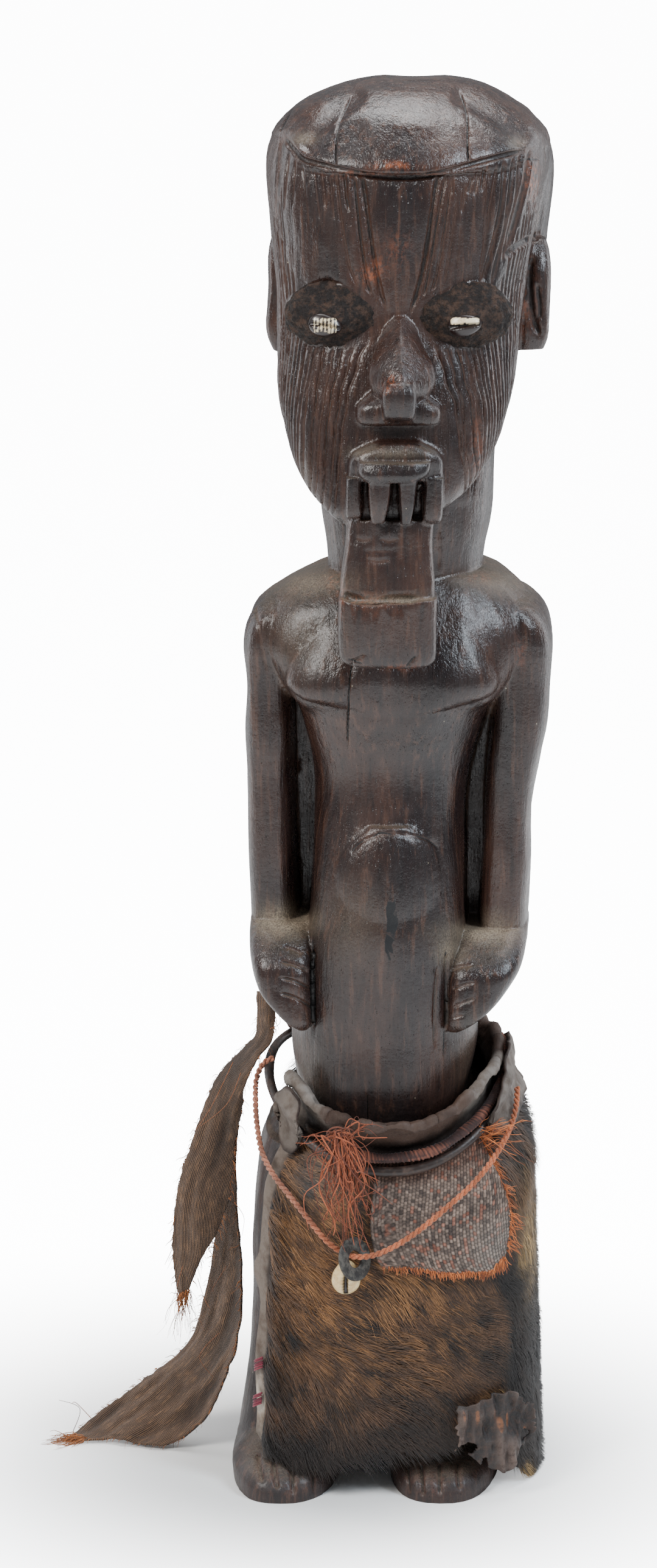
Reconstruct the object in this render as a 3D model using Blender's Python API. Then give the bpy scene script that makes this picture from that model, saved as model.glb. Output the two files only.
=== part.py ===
"""Standing figure carved from one block, with a hide skirt, raffia cloth, cord and shells.

Metres, +Z up, the figure faces -Y and stands on its soles at z = 0.
"""

import math

import bmesh
import bpy
from mathutils import Vector, noise

# Driving dimensions, in metres.
FIGURE_HEIGHT = 0.70
TOUCH_GAP = 0.0003
HIDE_THICKNESS = 0.0032
MAT_THICKNESS = 0.0020
RAFFIA_THICKNESS = 0.0016
SKIN_THICKNESS = 0.0030
HOOP_DIAMETER = 0.0048
ROPE_DIAMETER = 0.0054
CORD_DIAMETER = 0.0030
DISC_DIAMETER = 0.0215
DISC_HOLE_DIAMETER = 0.0085
DISC_THICKNESS = 0.0012
COWRIE_LENGTH = 0.0180
COWRIE_WIDTH = 0.0130
COWRIE_DEPTH = 0.0072
EYE_SHELL_LENGTH = 0.0150
EYE_SHELL_WIDTH = 0.0093
EYE_SHELL_DEPTH = 0.0052
TIE_DIAMETER = 0.0018
# The resin covers the carved eye, so its width is a share of the height.
CRUST_WIDTH = 0.0543 * FIGURE_HEIGHT

# The carving's places and sizes are shares of the height: one step is a seven-hundredth of it.
STEP = FIGURE_HEIGHT / 700
# The body is turned a little to its own right, so what lies forward lies a little to -X.
TURN = 0.075
# The soles' height and the middle of the whole object's box, in the steps of the carving.
SOLE_STEP = 5
MIDDLE_X = -41.9
MIDDLE_Y = -12.0
BLOCK_DETAIL = 1.6 * STEP
KEPT_SHARE = 0.0128


# Carving helpers

def between(p, q, r, s, t):
    """Smooth curve through q and r, led by p and s."""
    return 0.5 * (2 * q + (r - p) * t + (2 * p - 5 * q + 4 * r - s) * t * t
                  + (3 * q - p - 3 * r + s) * t ** 3)


def refine(rows, parts):
    """More rows on a smooth curve through the given ones."""
    last = len(rows) - 1
    result = []
    for i in range(last):
        p, q, r, s = (rows[min(max(i + k, 0), last)] for k in (-1, 0, 1, 2))
        for k in range(parts):
            result.append(tuple(between(*four, k / parts) for four in zip(p, q, r, s)))
    result.append(tuple(rows[last]))
    return result


def section(row, power, sides, turned):
    """A rounded outline at height z between left, right, front and back, in steps."""
    z, left, right, front, back = row
    points = []
    for i in range(sides):
        angle = 2 * math.pi * i / sides
        c, s = math.cos(angle), math.sin(angle)
        x = (left + right) / 2 + (right - left) / 2 * math.copysign(abs(c) ** (2 / power), c)
        y = (front + back) / 2 + (back - front) / 2 * math.copysign(abs(s) ** (2 / power), s)
        if turned:
            x += TURN * y
        points.append(Vector((x, y, z)) * STEP)
    return points


def skin_rings(bm, rings, closed=True):
    """Faces between neighbouring rings of points, with flat ends."""
    loops = [[bm.verts.new(p) for p in ring] for ring in rings]
    for low, high in zip(loops, loops[1:]):
        for i in range(len(low)):
            j = (i + 1) % len(low)
            bm.faces.new((low[i], low[j], high[j], high[i]))
    if closed:
        bm.faces.new(list(reversed(loops[0])))
        bm.faces.new(loops[-1])


def block(bm, rows, power=2.4, sides=32, parts=3, turned=True):
    """A carved mass through rows of (z, left, right, front, back)."""
    skin_rings(bm, [section(row, power, sides, turned) for row in refine(rows, parts)])


def egg(bm, centre, radii, sides=20, rings=12):
    """An oval mass, with centre and radii in steps."""
    made = bmesh.ops.create_uvsphere(bm, u_segments=sides, v_segments=rings, radius=1)
    for v in made["verts"]:
        v.co = Vector(v.co[k] * radii[k] * STEP + centre[k] * STEP for k in range(3))


def material(name, colour, roughness, metallic=0.0):
    """A plain Principled material."""
    made = bpy.data.materials.new(name)
    made.use_nodes = True
    shader = made.node_tree.nodes["Principled BSDF"]
    shader.inputs["Base Color"].default_value = (*colour, 1)
    shader.inputs["Roughness"].default_value = roughness
    shader.inputs["Metallic"].default_value = metallic
    return made


def build(name, bm, finish, smooth=True):
    """An object from a bmesh, with its faces pointing out."""
    bmesh.ops.recalc_face_normals(bm, faces=bm.faces)
    mesh = bpy.data.meshes.new(name)
    bm.to_mesh(mesh)
    bm.free()
    if smooth:
        mesh.shade_smooth()
    mesh.materials.append(finish)
    made = bpy.data.objects.new(name, mesh)
    bpy.context.collection.objects.link(made)
    return made


def as_cutter(made):
    """Marks an object as a tool that isn't part of the model."""
    made.hide_render = True
    made.display_type = "WIRE"
    return made


def cut(made, cutter, operation="DIFFERENCE"):
    """A live Boolean."""
    boolean = made.modifiers.new(operation.title(), "BOOLEAN")
    boolean.operation = operation
    boolean.solver = "EXACT"
    boolean.object = cutter


# The carved block

def carve_head(bm):
    """Head, hair cap, ears and neck."""
    block(bm, [(500, -19, 20, -78, -50), (506, -27, 30, -81, -42), (513, -34, 39, -81, -34),
               (522, -40, 46.5, -80, -22), (533, -45, 53, -79, -6), (554, -50.5, 60, -76, 20),
               (575, -52, 62, -72, 42), (592, -53, 63.5, -67, 50), (612, -54.5, 66, -68, 56),
               (640, -56.5, 71, -69, 60), (660, -58.5, 75, -67, 62), (674, -56, 73, -61, 61),
               (686, -45, 61, -50, 52), (694, -25, 45, -34, 38), (697, -8, 28, -14, 16)], 2.5)
    # The hair cap stands a little proud of the forehead.
    block(bm, [(663.5, -50, 68, -71, 30), (666, -54, 72, -70.5, 40), (676, -54, 72, -64, 50),
               (687, -44, 61, -52, 50), (696, -23, 44, -35, 36), (699.5, -6, 27, -14, 16)], 2.3)
    # Side and back hair, ending in a step above the ears.
    block(bm, [(619, -58.5, 74, -6, 63), (640, -59.5, 76, -12, 65), (658, -60, 77, -14, 66),
               (670, -58, 74, -10, 64), (680, -51, 66, -2, 58), (688, -40, 54, 8, 48)], 2.6)
    for side, outer, inner in ((-1, -59, -50), (1, 76.5, 60)):
        left, right = min(outer, inner), max(outer, inner)
        block(bm, [(571, left + (side < 0) * 3, right - (side > 0) * 3, -8, 6),
                   (580, left, right, -10, 10), (598, left, right, -10, 16),
                   (614, left, right, -8, 18), (624, left + 2, right - 2, -2, 14)],
              3, 16, turned=False)
    block(bm, [(430, -27, 40, -24, 44), (456, -29.5, 44, -28, 46), (475, -31, 46.5, -30, 46),
               (492, -33, 48.7, -32, 47), (540, -37, 52, -34, 50), (580, -36, 50, -30, 44)], 2.2)


def carve_face(bm):
    """Brows and eyes, nose, mouth with two teeth, and the plank beard."""
    for x, reach in ((-26.5, 23.5), (32.5, 23)):
        egg(bm, (x, -58, 597), (reach, 11.5, 16))
    block(bm, [(548.5, -15, 20, -84, -62), (551, -16.5, 22, -88, -62), (558, -16, 21.5, -88, -62),
               (563, -11, 16, -84, -62)], 4, 16, turned=False)
    # The nose is a ridged kite with a squared tip under it.
    block(bm, [(559, -7, 15, -92, -64), (564, -10, 18, -96, -64), (570, -11, 19.5, -96.5, -64),
               (577, -10, 18, -92, -64), (585, -7, 14, -84, -62), (591, -4, 11, -77, -60),
               (597, -1, 8, -70, -58)], 1.4, 16, turned=False)
    block(bm, [(553, -3.5, 9, -91, -66), (556, -4, 9.5, -96, -66), (566, -4.5, 10, -99, -66),
               (571, -2, 8, -96, -66)], 4, 16, turned=False)
    # Upper lip with its rolled inner lip, and the two uprights beside the teeth.
    block(bm, [(523, -21, 24, -88, -62), (532, -20.5, 24, -90, -62), (537, -16, 20, -90, -62),
               (541, -6, 12, -88, -62)], 5, 24, turned=False)
    block(bm, [(524, -13, 13, -97, -70), (528, -16, 17, -99, -70), (533, -16, 18, -97, -70)],
          4, 16, turned=False)
    block(bm, [(505, -21, -14.5, -84, -62), (509, -22, -14, -88, -62),
               (525, -22, -14, -89, -62)], 4, 12, turned=False)
    block(bm, [(502, 14.5, 22, -84, -62), (507, 13.5, 24, -88, -62), (525, 14, 24.5, -89, -62)],
          4, 12, turned=False)
    block(bm, [(504, -9.5, -3.7, -92, -72), (514, -10.7, -1.4, -96, -72),
               (526, -11.2, 0.2, -96, -72)], 5, 12, turned=False)
    block(bm, [(503, 3.9, 8.7, -92, -72), (514, 2.8, 10.8, -96, -72),
               (526, 2.0, 12.2, -96, -72)], 5, 12, turned=False)
    block(bm, [(434, -18, 14, -86, -70), (437, -24, 20, -89, -68), (449, -25.2, 21.2, -91, -66),
               (467, -25, 21, -92, -64)], 5, 24, turned=False)
    block(bm, [(462, -24.4, 20, -88, -64), (474, -24, 19.7, -87, -60), (490, -21.5, 19.3, -86, -54),
               (504, -20.5, 20, -85, -50)], 5, 24, turned=False)


def carve_trunk(bm):
    """Shoulders, chest, waist, belly and the bowl of the lower abdomen."""
    block(bm, [(464, -31, 47, -27, 44), (459, -46, 58, -31, 44), (450, -61, 68, -36, 43),
               (440, -66, 74, -40, 42), (428, -64, 72, -44, 42), (414, -56, 64, -47, 42),
               (406, -50, 57, -48, 42), (398, -44, 51, -45, 42), (384, -40, 46, -41, 41),
               (370, -37, 42, -38, 40), (354, -35.5, 39, -39, 40), (330, -36, 38, -44, 41),
               (300, -38, 38, -51, 42), (286, -40, 39, -53, 43), (270, -42, 40, -52.5, 44),
               (240, -46.5, 43.5, -50, 46),
               (228, -47, 45, -50, 46), (212, -45, 43, -51, 46), (200, -41, 39, -49, 44),
               (190, -33, 31, -44, 38), (184, -20, 20, -32, 30)], 2.5)
    # Belly under its raised arc.
    block(bm, [(276, -22, 24, -52, 0), (290, -27, 29, -55, 0), (306, -28, 31, -55.5, 0),
               (322, -27, 30, -52.5, 0), (336, -22, 27, -48, 0), (344, -14, 20, -44.5, 0)], 2.2, 28)
    # The chest plane, a shield that overhangs the waist, with a blunt corner on each side.
    block(bm, [(398, -10, 16, -44, 0), (404, -30, 40, -48.5, 0), (411, -47, 53, -51, 0),
               (419, -48, 55, -51, 0), (430, -44, 52, -47, 0), (446, -36, 46, -38, 0)], 3, 28)


def carve_arms(bm):
    """Straight upper arms, a web behind them, and forearms bent to flat hands on the belly."""
    block(bm, [(284, -67.5, -43, -22, 24), (320, -68.5, -45, -22, 25), (354, -69.1, -46, -22, 27),
               (411, -70, -47, -24, 30), (430, -70, -44, -26, 34), (442, -67.5, -40, -25, 36),
               (450, -60, -34, -20, 34), (455, -50, -30, -12, 30)], 3.2)
    block(bm, [(284, 45, 69, -22, 24), (322, 47, 70, -22, 25), (352, 47, 71.5, -22, 27),
               (370, 48, 74.4, -23, 28), (390, 50, 78, -24, 29), (411, 50, 79.5, -24, 30),
               (430, 48, 79.5, -26, 34), (442, 44, 76, -25, 36), (450, 38, 68, -20, 34),
               (455, 34, 56, -12, 30)], 3.2)
    block(bm, [(280, -52, -30, 6, 26), (440, -54, -30, 6, 34)], 6, 12)
    block(bm, [(280, 30, 52, 6, 26), (440, 30, 60, 6, 34)], 6, 12)
    block(bm, [(242, -42, -36, -47, -14), (246, -48, -34, -50, 0), (253, -56, -34, -50, 12),
               (262, -63, -34, -49, 20), (274, -66, -34, -47, 25), (284, -67.5, -34, -36, 26),
               (291, -67.5, -34, -24, 26)], 4, 28)
    block(bm, [(240, 31, 38, -44, -14), (245, 30.5, 47, -47, 0), (253, 30.5, 57, -47, 12),
               (262, 30.5, 63, -46, 20), (270, 31, 67, -44, 25), (279, 32, 69.5, -34, 26),
               (286, 33, 69.5, -24, 26)], 4, 28)


def carve_legs(bm):
    """Hips, two stout bent legs and broad feet that reach below the floor until they are cut."""
    block(bm, [(206, -40, 38, -30, 52), (198, -43, 41, -32, 56), (190, -47, 44, -34, 60),
               (182, -56, 50, -36, 63), (173, -63, 56, -36, 64), (162, -64, 58, -34, 62),
               (152, -60, 56, -20, 56)], 2.8)
    for legs in ([(178, -61, -8), (166, -64, -9), (145, -66, -12), (118, -67, -17),
                  (85, -68, -20), (55, -70, -22), (30, -74, -22), (8, -75, -21)],
                 [(178, 4, 54), (166, 5, 57), (145, 4, 57), (118, 3, 54),
                  (85, 4, 53), (55, 4, 54), (30, 4, 56), (8, 3, 57)]):
        depths = [(-36, 62), (-40, 58), (-44, 50), (-42, 42), (-33, 40), (-28, 38), (-34, 37), (-50, 37)]
        rows = [(*leg, *depth) for leg, depth in zip(legs, depths)]
        block(bm, list(reversed(rows)), 2.7, 28)
    for left, right in ((-76, -20), (3, 59)):
        block(bm, [(-6, left + 3, right - 3, -72, 34), (5, left + 1, right - 1, -75, 37),
                   (14, left, right, -72, 38), (21, left + 3, right - 2, -61, 38),
                   (27, left + 8, right - 5, -46, 36)], 2.6, 28)


def carve_figure():
    """The whole carving as one closed wooden solid with flat soles."""
    bm = bmesh.new()
    carve_head(bm)
    carve_face(bm)
    carve_trunk(bm)
    carve_arms(bm)
    carve_legs(bm)
    wood = material("dark_wood", (0.035, 0.024, 0.019), 0.35)
    figure = build("figure", bm, wood)
    merge = figure.modifiers.new("One block", "REMESH")
    merge.mode = "VOXEL"
    merge.voxel_size = BLOCK_DETAIL
    merge.use_smooth_shade = True
    ease = figure.modifiers.new("Worn edges", "SMOOTH")
    ease.factor = 0.5
    ease.iterations = 2
    facets = figure.modifiers.new("Facets", "DECIMATE")
    facets.ratio = KEPT_SHARE
    return figure


def floor_cutter():
    """What lies under the soles."""
    bm = bmesh.new()
    reach = 0.4 * FIGURE_HEIGHT
    bmesh.ops.create_cube(bm, size=1)
    bmesh.ops.scale(bm, vec=(reach, reach, reach), verts=bm.verts)
    bmesh.ops.translate(bm, vec=(0, 0, SOLE_STEP * STEP - reach / 2), verts=bm.verts)
    return as_cutter(build("floor_cutter", bm, material("tool", (0.5, 0.5, 0.5), 0.5), False))


def swollen(made, name, gap):
    """A cutter that is a piece with all that is closer to it than a gap."""
    copy = made.copy()
    copy.name = name
    bpy.context.collection.objects.link(copy)
    swell = copy.modifiers.new("Gap", "DISPLACE")
    swell.mid_level = 0
    swell.strength = gap
    return as_cutter(copy)


# The line that the skirt follows round the hips, in steps and degrees from the front towards +X

WAIST_MIDDLE = -3.5
HOOP_FRONT_Z = 176
HOOP_RISE = 40
HIDE_START = -58
HIDE_END = 215


def mix(a, b, share):
    """A value between a and b."""
    return a + (b - a) * share


def ease_in(value):
    """A soft step from 0 to 1."""
    value = min(max(value, 0), 1)
    return value * value * (3 - 2 * value)


def along(keys, value):
    """Reads a list of (place, value) pairs at a place, with soft steps between."""
    if value <= keys[0][0]:
        return keys[0][1]
    for (p, q), (r, s) in zip(keys, keys[1:]):
        if value <= r:
            return mix(q, s, ease_in((value - p) / (r - p)))
    return keys[-1][1]


def reach(depth):
    """How far the hide hangs from the middle at a depth under the hoop, and how square it is."""
    share = ease_in((depth + 1) / 34)
    hang = max(depth - 18, 0)
    flare = max(-depth, 0)
    side = mix(48, 66, share) + 0.04 * hang + 0.2 * flare
    front = mix(46.5, 57, share) + 0.05 * hang + 0.5 * flare
    back = mix(56, 74, share) + 0.01 * hang
    return side, front, back, mix(2.2, 2.9, share)


def wrap(angle, depth, out=0.0):
    """x and y in metres of the hide's inner side, moved out by a length in metres."""
    side, front, back, square = reach(depth)
    s, c = math.sin(math.radians(angle)), math.cos(math.radians(angle))
    x = math.copysign(abs(s) ** (2 / square), s) * (side * STEP + out)
    y = -math.copysign(abs(c) ** (2 / square), c) * ((front if c > 0 else back) * STEP + out)
    return x, y + WAIST_MIDDLE * STEP


def hoop_height(y):
    """Height of the hoop, which dips at the front, where y is given in metres."""
    return (HOOP_FRONT_Z + HOOP_RISE * (1 - math.exp(-(y / STEP + 60) / 36))) * STEP


def on_hide(angle, height, out):
    """A point at a height in steps, outside the hide's inner side by a length in metres."""
    depth = 0
    for _ in range(3):
        y = wrap(angle, depth, out)[1]
        depth = hoop_height(y) / STEP - height
    x, y = wrap(angle, depth, out)
    return Vector((x, y, height * STEP))


def sheet(name, rows, thickness, finish, outward=1):
    """A closed sheet through a grid of points, thickened to one side."""
    bm = bmesh.new()
    grid = [[bm.verts.new(p) for p in row] for row in rows]
    for low, high in zip(grid, grid[1:]):
        for i in range(len(low) - 1):
            bm.faces.new((low[i], low[i + 1], high[i + 1], high[i]))
    mesh = bpy.data.meshes.new(name)
    bm.to_mesh(mesh)
    bm.free()
    mesh.shade_smooth()
    mesh.materials.append(finish)
    made = bpy.data.objects.new(name, mesh)
    bpy.context.collection.objects.link(made)
    wall = made.modifiers.new("Wall", "SOLIDIFY")
    wall.thickness = thickness
    wall.offset = outward
    return made


def tube(name, points, diameter, finish, closed=False, resolution=2):
    """A round tube along a list of points."""
    curve = bpy.data.curves.new(name, "CURVE")
    curve.dimensions = "3D"
    curve.bevel_depth = diameter / 2
    curve.bevel_resolution = resolution
    curve.use_fill_caps = True
    spline = curve.splines.new("POLY")
    spline.points.add(len(points) - 1)
    for point, place in zip(spline.points, points):
        point.co = (*place, 1)
    spline.use_cyclic_u = closed
    curve.materials.append(finish)
    made = bpy.data.objects.new(name, curve)
    bpy.context.collection.objects.link(made)
    return made


# Hide skirt, hoop and rope

def hide_top(angle):
    """Height in steps of the hide's rolled upper edge."""
    y = wrap(angle, 0)[1]
    rise = along([(-58, 19), (-48, 21), (-36, 15), (-10, 16), (22, 15), (44, 19), (62, 19), (90, 12),
                  (215, 10)], angle)
    return hoop_height(y) / STEP + rise


def hide_hem(angle):
    """Height in steps of the hide's lower edge."""
    return along([(-58, 32), (-48, 26), (-12, 26), (6, 31), (24, 48), (36, 38), (56, 13), (76, 8),
                  (100, 9), (135, 22), (175, 30), (215, 36)], angle)


def heights(low, hoop, top, hang, bends):
    """Heights of a hanging sheet's rows: even ones from low, then one at each bend by the hoop."""
    first = hoop - bends[0]
    return [mix(low, first, k / hang) for k in range(hang)] + [hoop - b for b in bends] + [top]


def hide_skirt(finish):
    """The hide from its rolled top edge down to the hem, open at the figure's right side."""
    columns = 28
    rows = []
    for k in range(9):
        row = []
        for i in range(columns + 1):
            angle = mix(HIDE_START, HIDE_END, i / columns)
            hoop = girdle(angle, HIDE_THICKNESS).z / STEP
            height = heights(hide_hem(angle), hoop, hide_top(angle), 3, (34, 20, 10, 2, -6))[k]
            nub = 9 * math.exp(-((height - 115) / 7) ** 2) * max(1 - i / 2, 0)
            fold = noise.noise(Vector((angle / 26, height / 45, 1))) * 1.6 * ease_in((170 - height) / 60)
            row.append(on_hide(angle - nub, height, max(fold, -0.4) * STEP))
        rows.append(row)
    return sheet("hide_skirt", rows, HIDE_THICKNESS, finish, 1)


def girdle(angle, out, lift=0.0):
    """A point on the hoop's line, outside the hide's inner side."""
    x, y = wrap(angle, 0, out)
    return Vector((x, y, hoop_height(y) + lift))


# The hide slopes where the hoop holds it, so its walls are wider along the hoop's plane.
SLOPE_SHARE = 1.5
UNDER_HOOP = SLOPE_SHARE * (HIDE_THICKNESS + MAT_THICKNESS) + 4 * TOUCH_GAP
HOOP_OUT = UNDER_HOOP + HOOP_DIAMETER / 2
ROPE_OUT = SLOPE_SHARE * HIDE_THICKNESS + 5 * TOUCH_GAP + 1.5 * STEP + ROPE_DIAMETER / 2


def waist_hoop(finish):
    """A smooth closed hoop that holds the hide and the mat."""
    turns = 36
    points = [girdle(360 * i / turns, HOOP_OUT) for i in range(turns)]
    return tube("waist_hoop", points, HOOP_DIAMETER, finish, closed=True)


def waist_rope(finish):
    """The bound rope on top of the hoop, from its knot round to the figure's right side."""
    lift = (HOOP_DIAMETER + ROPE_DIAMETER) / 2 + TOUCH_GAP
    count = 28
    points = [girdle(mix(-12, 236, i / count), ROPE_OUT, lift * 1.05) for i in range(count + 1)]
    return tube("waist_rope", points, ROPE_DIAMETER, finish)


def fibre_tassel(finish):
    """The knot at the rope's end with its bundle of fibres hanging over the hoop."""
    knot = girdle(-19, ROPE_OUT, 0) / STEP
    x, y = knot.x - 1, girdle(-19, HOOP_OUT)[1] / STEP - HOOP_DIAMETER / STEP / 2 - 1.2
    bm = bmesh.new()
    block(bm, [(149, x - 5, x + 9, y - 4, y - 1), (156, x - 8, x + 11, y - 5, y - 0.5),
               (166, x - 6, x + 7, y - 5, y), (176, x - 4, x + 5, y - 5, y),
               (186, x - 4.5, x + 4.5, y - 4, y + 3), (190, x - 3, x + 3, y - 2, y + 2)],
          2.4, 10, 2, turned=False)
    return build("fibre_tassel", bm, finish)


def raffia_mat(finish):
    """The coarse mat that hangs from the hoop over the hide."""
    columns = 12
    rows = []
    for k in range(6):
        row = []
        for i in range(columns + 1):
            share = i / columns
            top = mix(-6, 50, share)
            bottom = mix(-0.5, 41, share)
            angle = mix(bottom, top, (k / 5) ** 0.7)
            hoop = girdle(angle, HIDE_THICKNESS).z / STEP
            low = along([(0, 128), (0.4, 124), (0.8, 123), (1, 129)], share)
            height = heights(low, hoop, hoop - 6, 2, (34, 20, 10))[k]
            out = SLOPE_SHARE * HIDE_THICKNESS + 3 * TOUCH_GAP + 1.6 * STEP * ease_in((175 - height) / 15)
            row.append(on_hide(angle, height, out))
        rows.append(row)
    return sheet("raffia_mat", rows, MAT_THICKNESS, finish, 1)


def dried_skin(finish):
    """A shrunken piece of skin that hangs from the hide's hem over the left foot."""
    columns, levels = 7, 6
    rows = []
    for k in range(levels + 1):
        row = []
        for i in range(columns + 1):
            share = i / columns
            angle = mix(16, 54, share)
            height = mix(along([(0, 34), (0.5, 20), (1, 30)], share),
                         along([(0, 57), (0.6, 60), (1, 50)], share), k / levels)
            crumple = 3.4 * noise.noise(Vector((share * 3.1, k * 0.55, 4)))
            out = HIDE_THICKNESS + (6.5 + crumple) * STEP
            row.append(on_hide(angle, height, out))
        rows.append(row)
    return sheet("dried_skin", rows, SKIN_THICKNESS, finish, 1)


def hide_tie(name, height, finish):
    """A short thread sewn over the hide's open edge."""
    out = HIDE_THICKNESS + 2.2 * TOUCH_GAP + 1.2 * STEP + TIE_DIAMETER / 2
    points = []
    for i in range(5):
        share = i / 4
        points.append(on_hide(HIDE_START + mix(1, 7, share), height + 4 * share,
                              out + math.sin(math.pi * share) * STEP))
    return tube(name, points, TIE_DIAMETER, finish)


# Raffia cloth at the figure's right side, each row from its outer to its inner edge

def ribbon(name, rows, finish, columns=4, parts=1, bulge=2.0):
    """A strip of cloth through rows of two edge points, bowed a little across."""
    grid = []
    for row in refine(rows, parts):
        outer, inner = Vector(row[:3]), Vector(row[3:])
        grid.append([])
        for i in range(columns + 1):
            share = i / columns
            point = outer.lerp(inner, share)
            point.y -= bulge * math.sin(math.pi * share)
            grid[-1].append(point * STEP)
    return sheet(name, grid, RAFFIA_THICKNESS, finish, 0)


def raffia_strip_short(finish):
    """The end that stands up at the waist, folds over the hoop and hangs free."""
    return ribbon("raffia_strip_short", [
        (-66, 15, 243, -57, 12, 244), (-66, 14, 231, -56, 8, 231), (-67, 14, 221, -58, 4, 220.5),
        (-73, 14, 215, -65.5, -1, 212), (-81, 11, 209, -71, -5, 200), (-90, 6, 197, -73, -7, 186),
        (-98, -1, 173, -76, -7, 165), (-105, -3, 154, -78, -8, 144), (-109, -5, 132, -84, -8, 125),
        (-109, -5, 108, -94, -8, 108), (-105, -5, 88, -101, -6, 89)], finish)


def raffia_strip_long(finish):
    """The end that hangs behind the first and spreads on the floor."""
    return ribbon("raffia_strip_long", [
        (-66, 30, 214, -66, 16, 212), (-74, 27, 198, -72, 11, 195), (-82, 20, 170, -76, 6, 168),
        (-85, 16, 140, -76, 2, 138), (-89, 14, 108, -74, -5, 104), (-93, 14, 80, -74, -11, 82),
        (-99, 15, 60, -75, -15, 66), (-108, 16, 48, -79, -15, 52), (-119, 17, 40, -84, -13, 35),
        (-129, 18, 32, -94, -10, 18), (-139, 19, 24, -110, -9, 7.5), (-148, 17, 17, -126, -6, 7),
        (-157, 12, 11, -142, 0, 7), (-163, 5, 7.5, -157, -1, 7)], finish, bulge=0.6)


# Cord and pendants, the cord's route in steps

CORD_ROUTE = [(-57, -10, 216), (-62, -11, 213.5), (-65.5, -15, 207), (-66, -23, 197), (-65, -34, 188),
              (-62.5, -46, 179), (-57, -57, 171.5), (-49, -66, 164), (-40, -71.5, 154), (-31, -74, 143.5),
              (-23.5, -75.5, 138), (-17, -78, 136.5), (-9, -79.5, 137.5), (0, -78, 140.5), (10, -76, 146),
              (20, -73.5, 153), (30, -70.5, 161), (39, -66.5, 168), (47, -60, 175), (54, -51, 182),
              (59.5, -40, 189), (63, -29, 196.5), (64, -19, 203.5)]

CORD_LOW = Vector((-17, -78, 136.5))


def pendant_cord(finish):
    """The twisted cord that hangs in a V from the hoop's sides."""
    points = [Vector(row) * STEP for row in refine(CORD_ROUTE, 2)]
    return tube("pendant_cord", points, CORD_DIAMETER, finish)


def pendant_disc(finish):
    """A thin pierced metal disc that hangs on the cord by its hole."""
    bm = bmesh.new()
    sides = 24
    outer, inner, half = DISC_DIAMETER / 2, DISC_HOLE_DIAMETER / 2, DISC_THICKNESS / 2
    profile = [(outer, -half), (outer, half), (inner, half), (inner, -half)]
    loops = [[bm.verts.new((r * math.cos(2 * math.pi * i / sides), r * math.sin(2 * math.pi * i / sides), h))
              for i in range(sides)] for r, h in profile]
    for k in range(4):
        low, high = loops[k], loops[(k + 1) % 4]
        for i in range(sides):
            j = (i + 1) % sides
            bm.faces.new((low[i], low[j], high[j], high[i]))
    made = build("pendant_disc", bm, finish, False)
    facing = Vector((0.7, -0.64, 0.3)).normalized()
    made.rotation_euler = facing.to_track_quat("Z", "Y").to_euler()
    drop = DISC_HOLE_DIAMETER / 2 - CORD_DIAMETER / 2 - 2 * TOUCH_GAP
    made.location = CORD_LOW * STEP - Vector((0, 0, drop * 0.6))
    return made


def shell(name, width, height, depth, finish):
    """A cowrie's mouth side, lying in XZ and facing -Y, with its slit."""
    bm = bmesh.new()
    made = bmesh.ops.create_uvsphere(bm, u_segments=12, v_segments=8, radius=1)
    for v in made["verts"]:
        x, y, z = v.co
        slit = 0.42 * math.exp(-(x / 0.16) ** 2) * (y < 0)
        v.co = (x * width / 2 * (1 - 0.12 * z), (y + slit) * depth / 2, z * height / 2)
    return build(name, bm, finish)


def eyes(figure, crust, ivory):
    """Each eye's resin crust on the carved dome, with a cowrie set in it."""
    for side, x in (("right", -26.5), ("left", 32.5)):
        cowrie = shell("eye_cowrie_" + side, EYE_SHELL_WIDTH, EYE_SHELL_LENGTH, EYE_SHELL_DEPTH, ivory)
        cowrie.rotation_euler = (0, math.pi / 2 if side == "right" else -math.pi / 2, 0)
        cowrie.location = Vector((x + (-4.5 if side == "right" else 1), -75, 594.5)) * STEP
        bm = bmesh.new()
        egg(bm, (0, 0, 0), (CRUST_WIDTH / 2 / STEP, 15.5, 13.5), 16, 10)
        patch = build("eye_crust_" + side, bm, crust)
        patch.location = Vector((x, -59.5, 596.5)) * STEP
        cut(patch, swollen(figure, "figure_room_" + side, 1.2 * TOUCH_GAP))
        cut(cowrie, swollen(figure, "figure_room_shell_" + side, TOUCH_GAP))
        cut(patch, swollen(cowrie, "shell_room_" + side, TOUCH_GAP))


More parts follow.
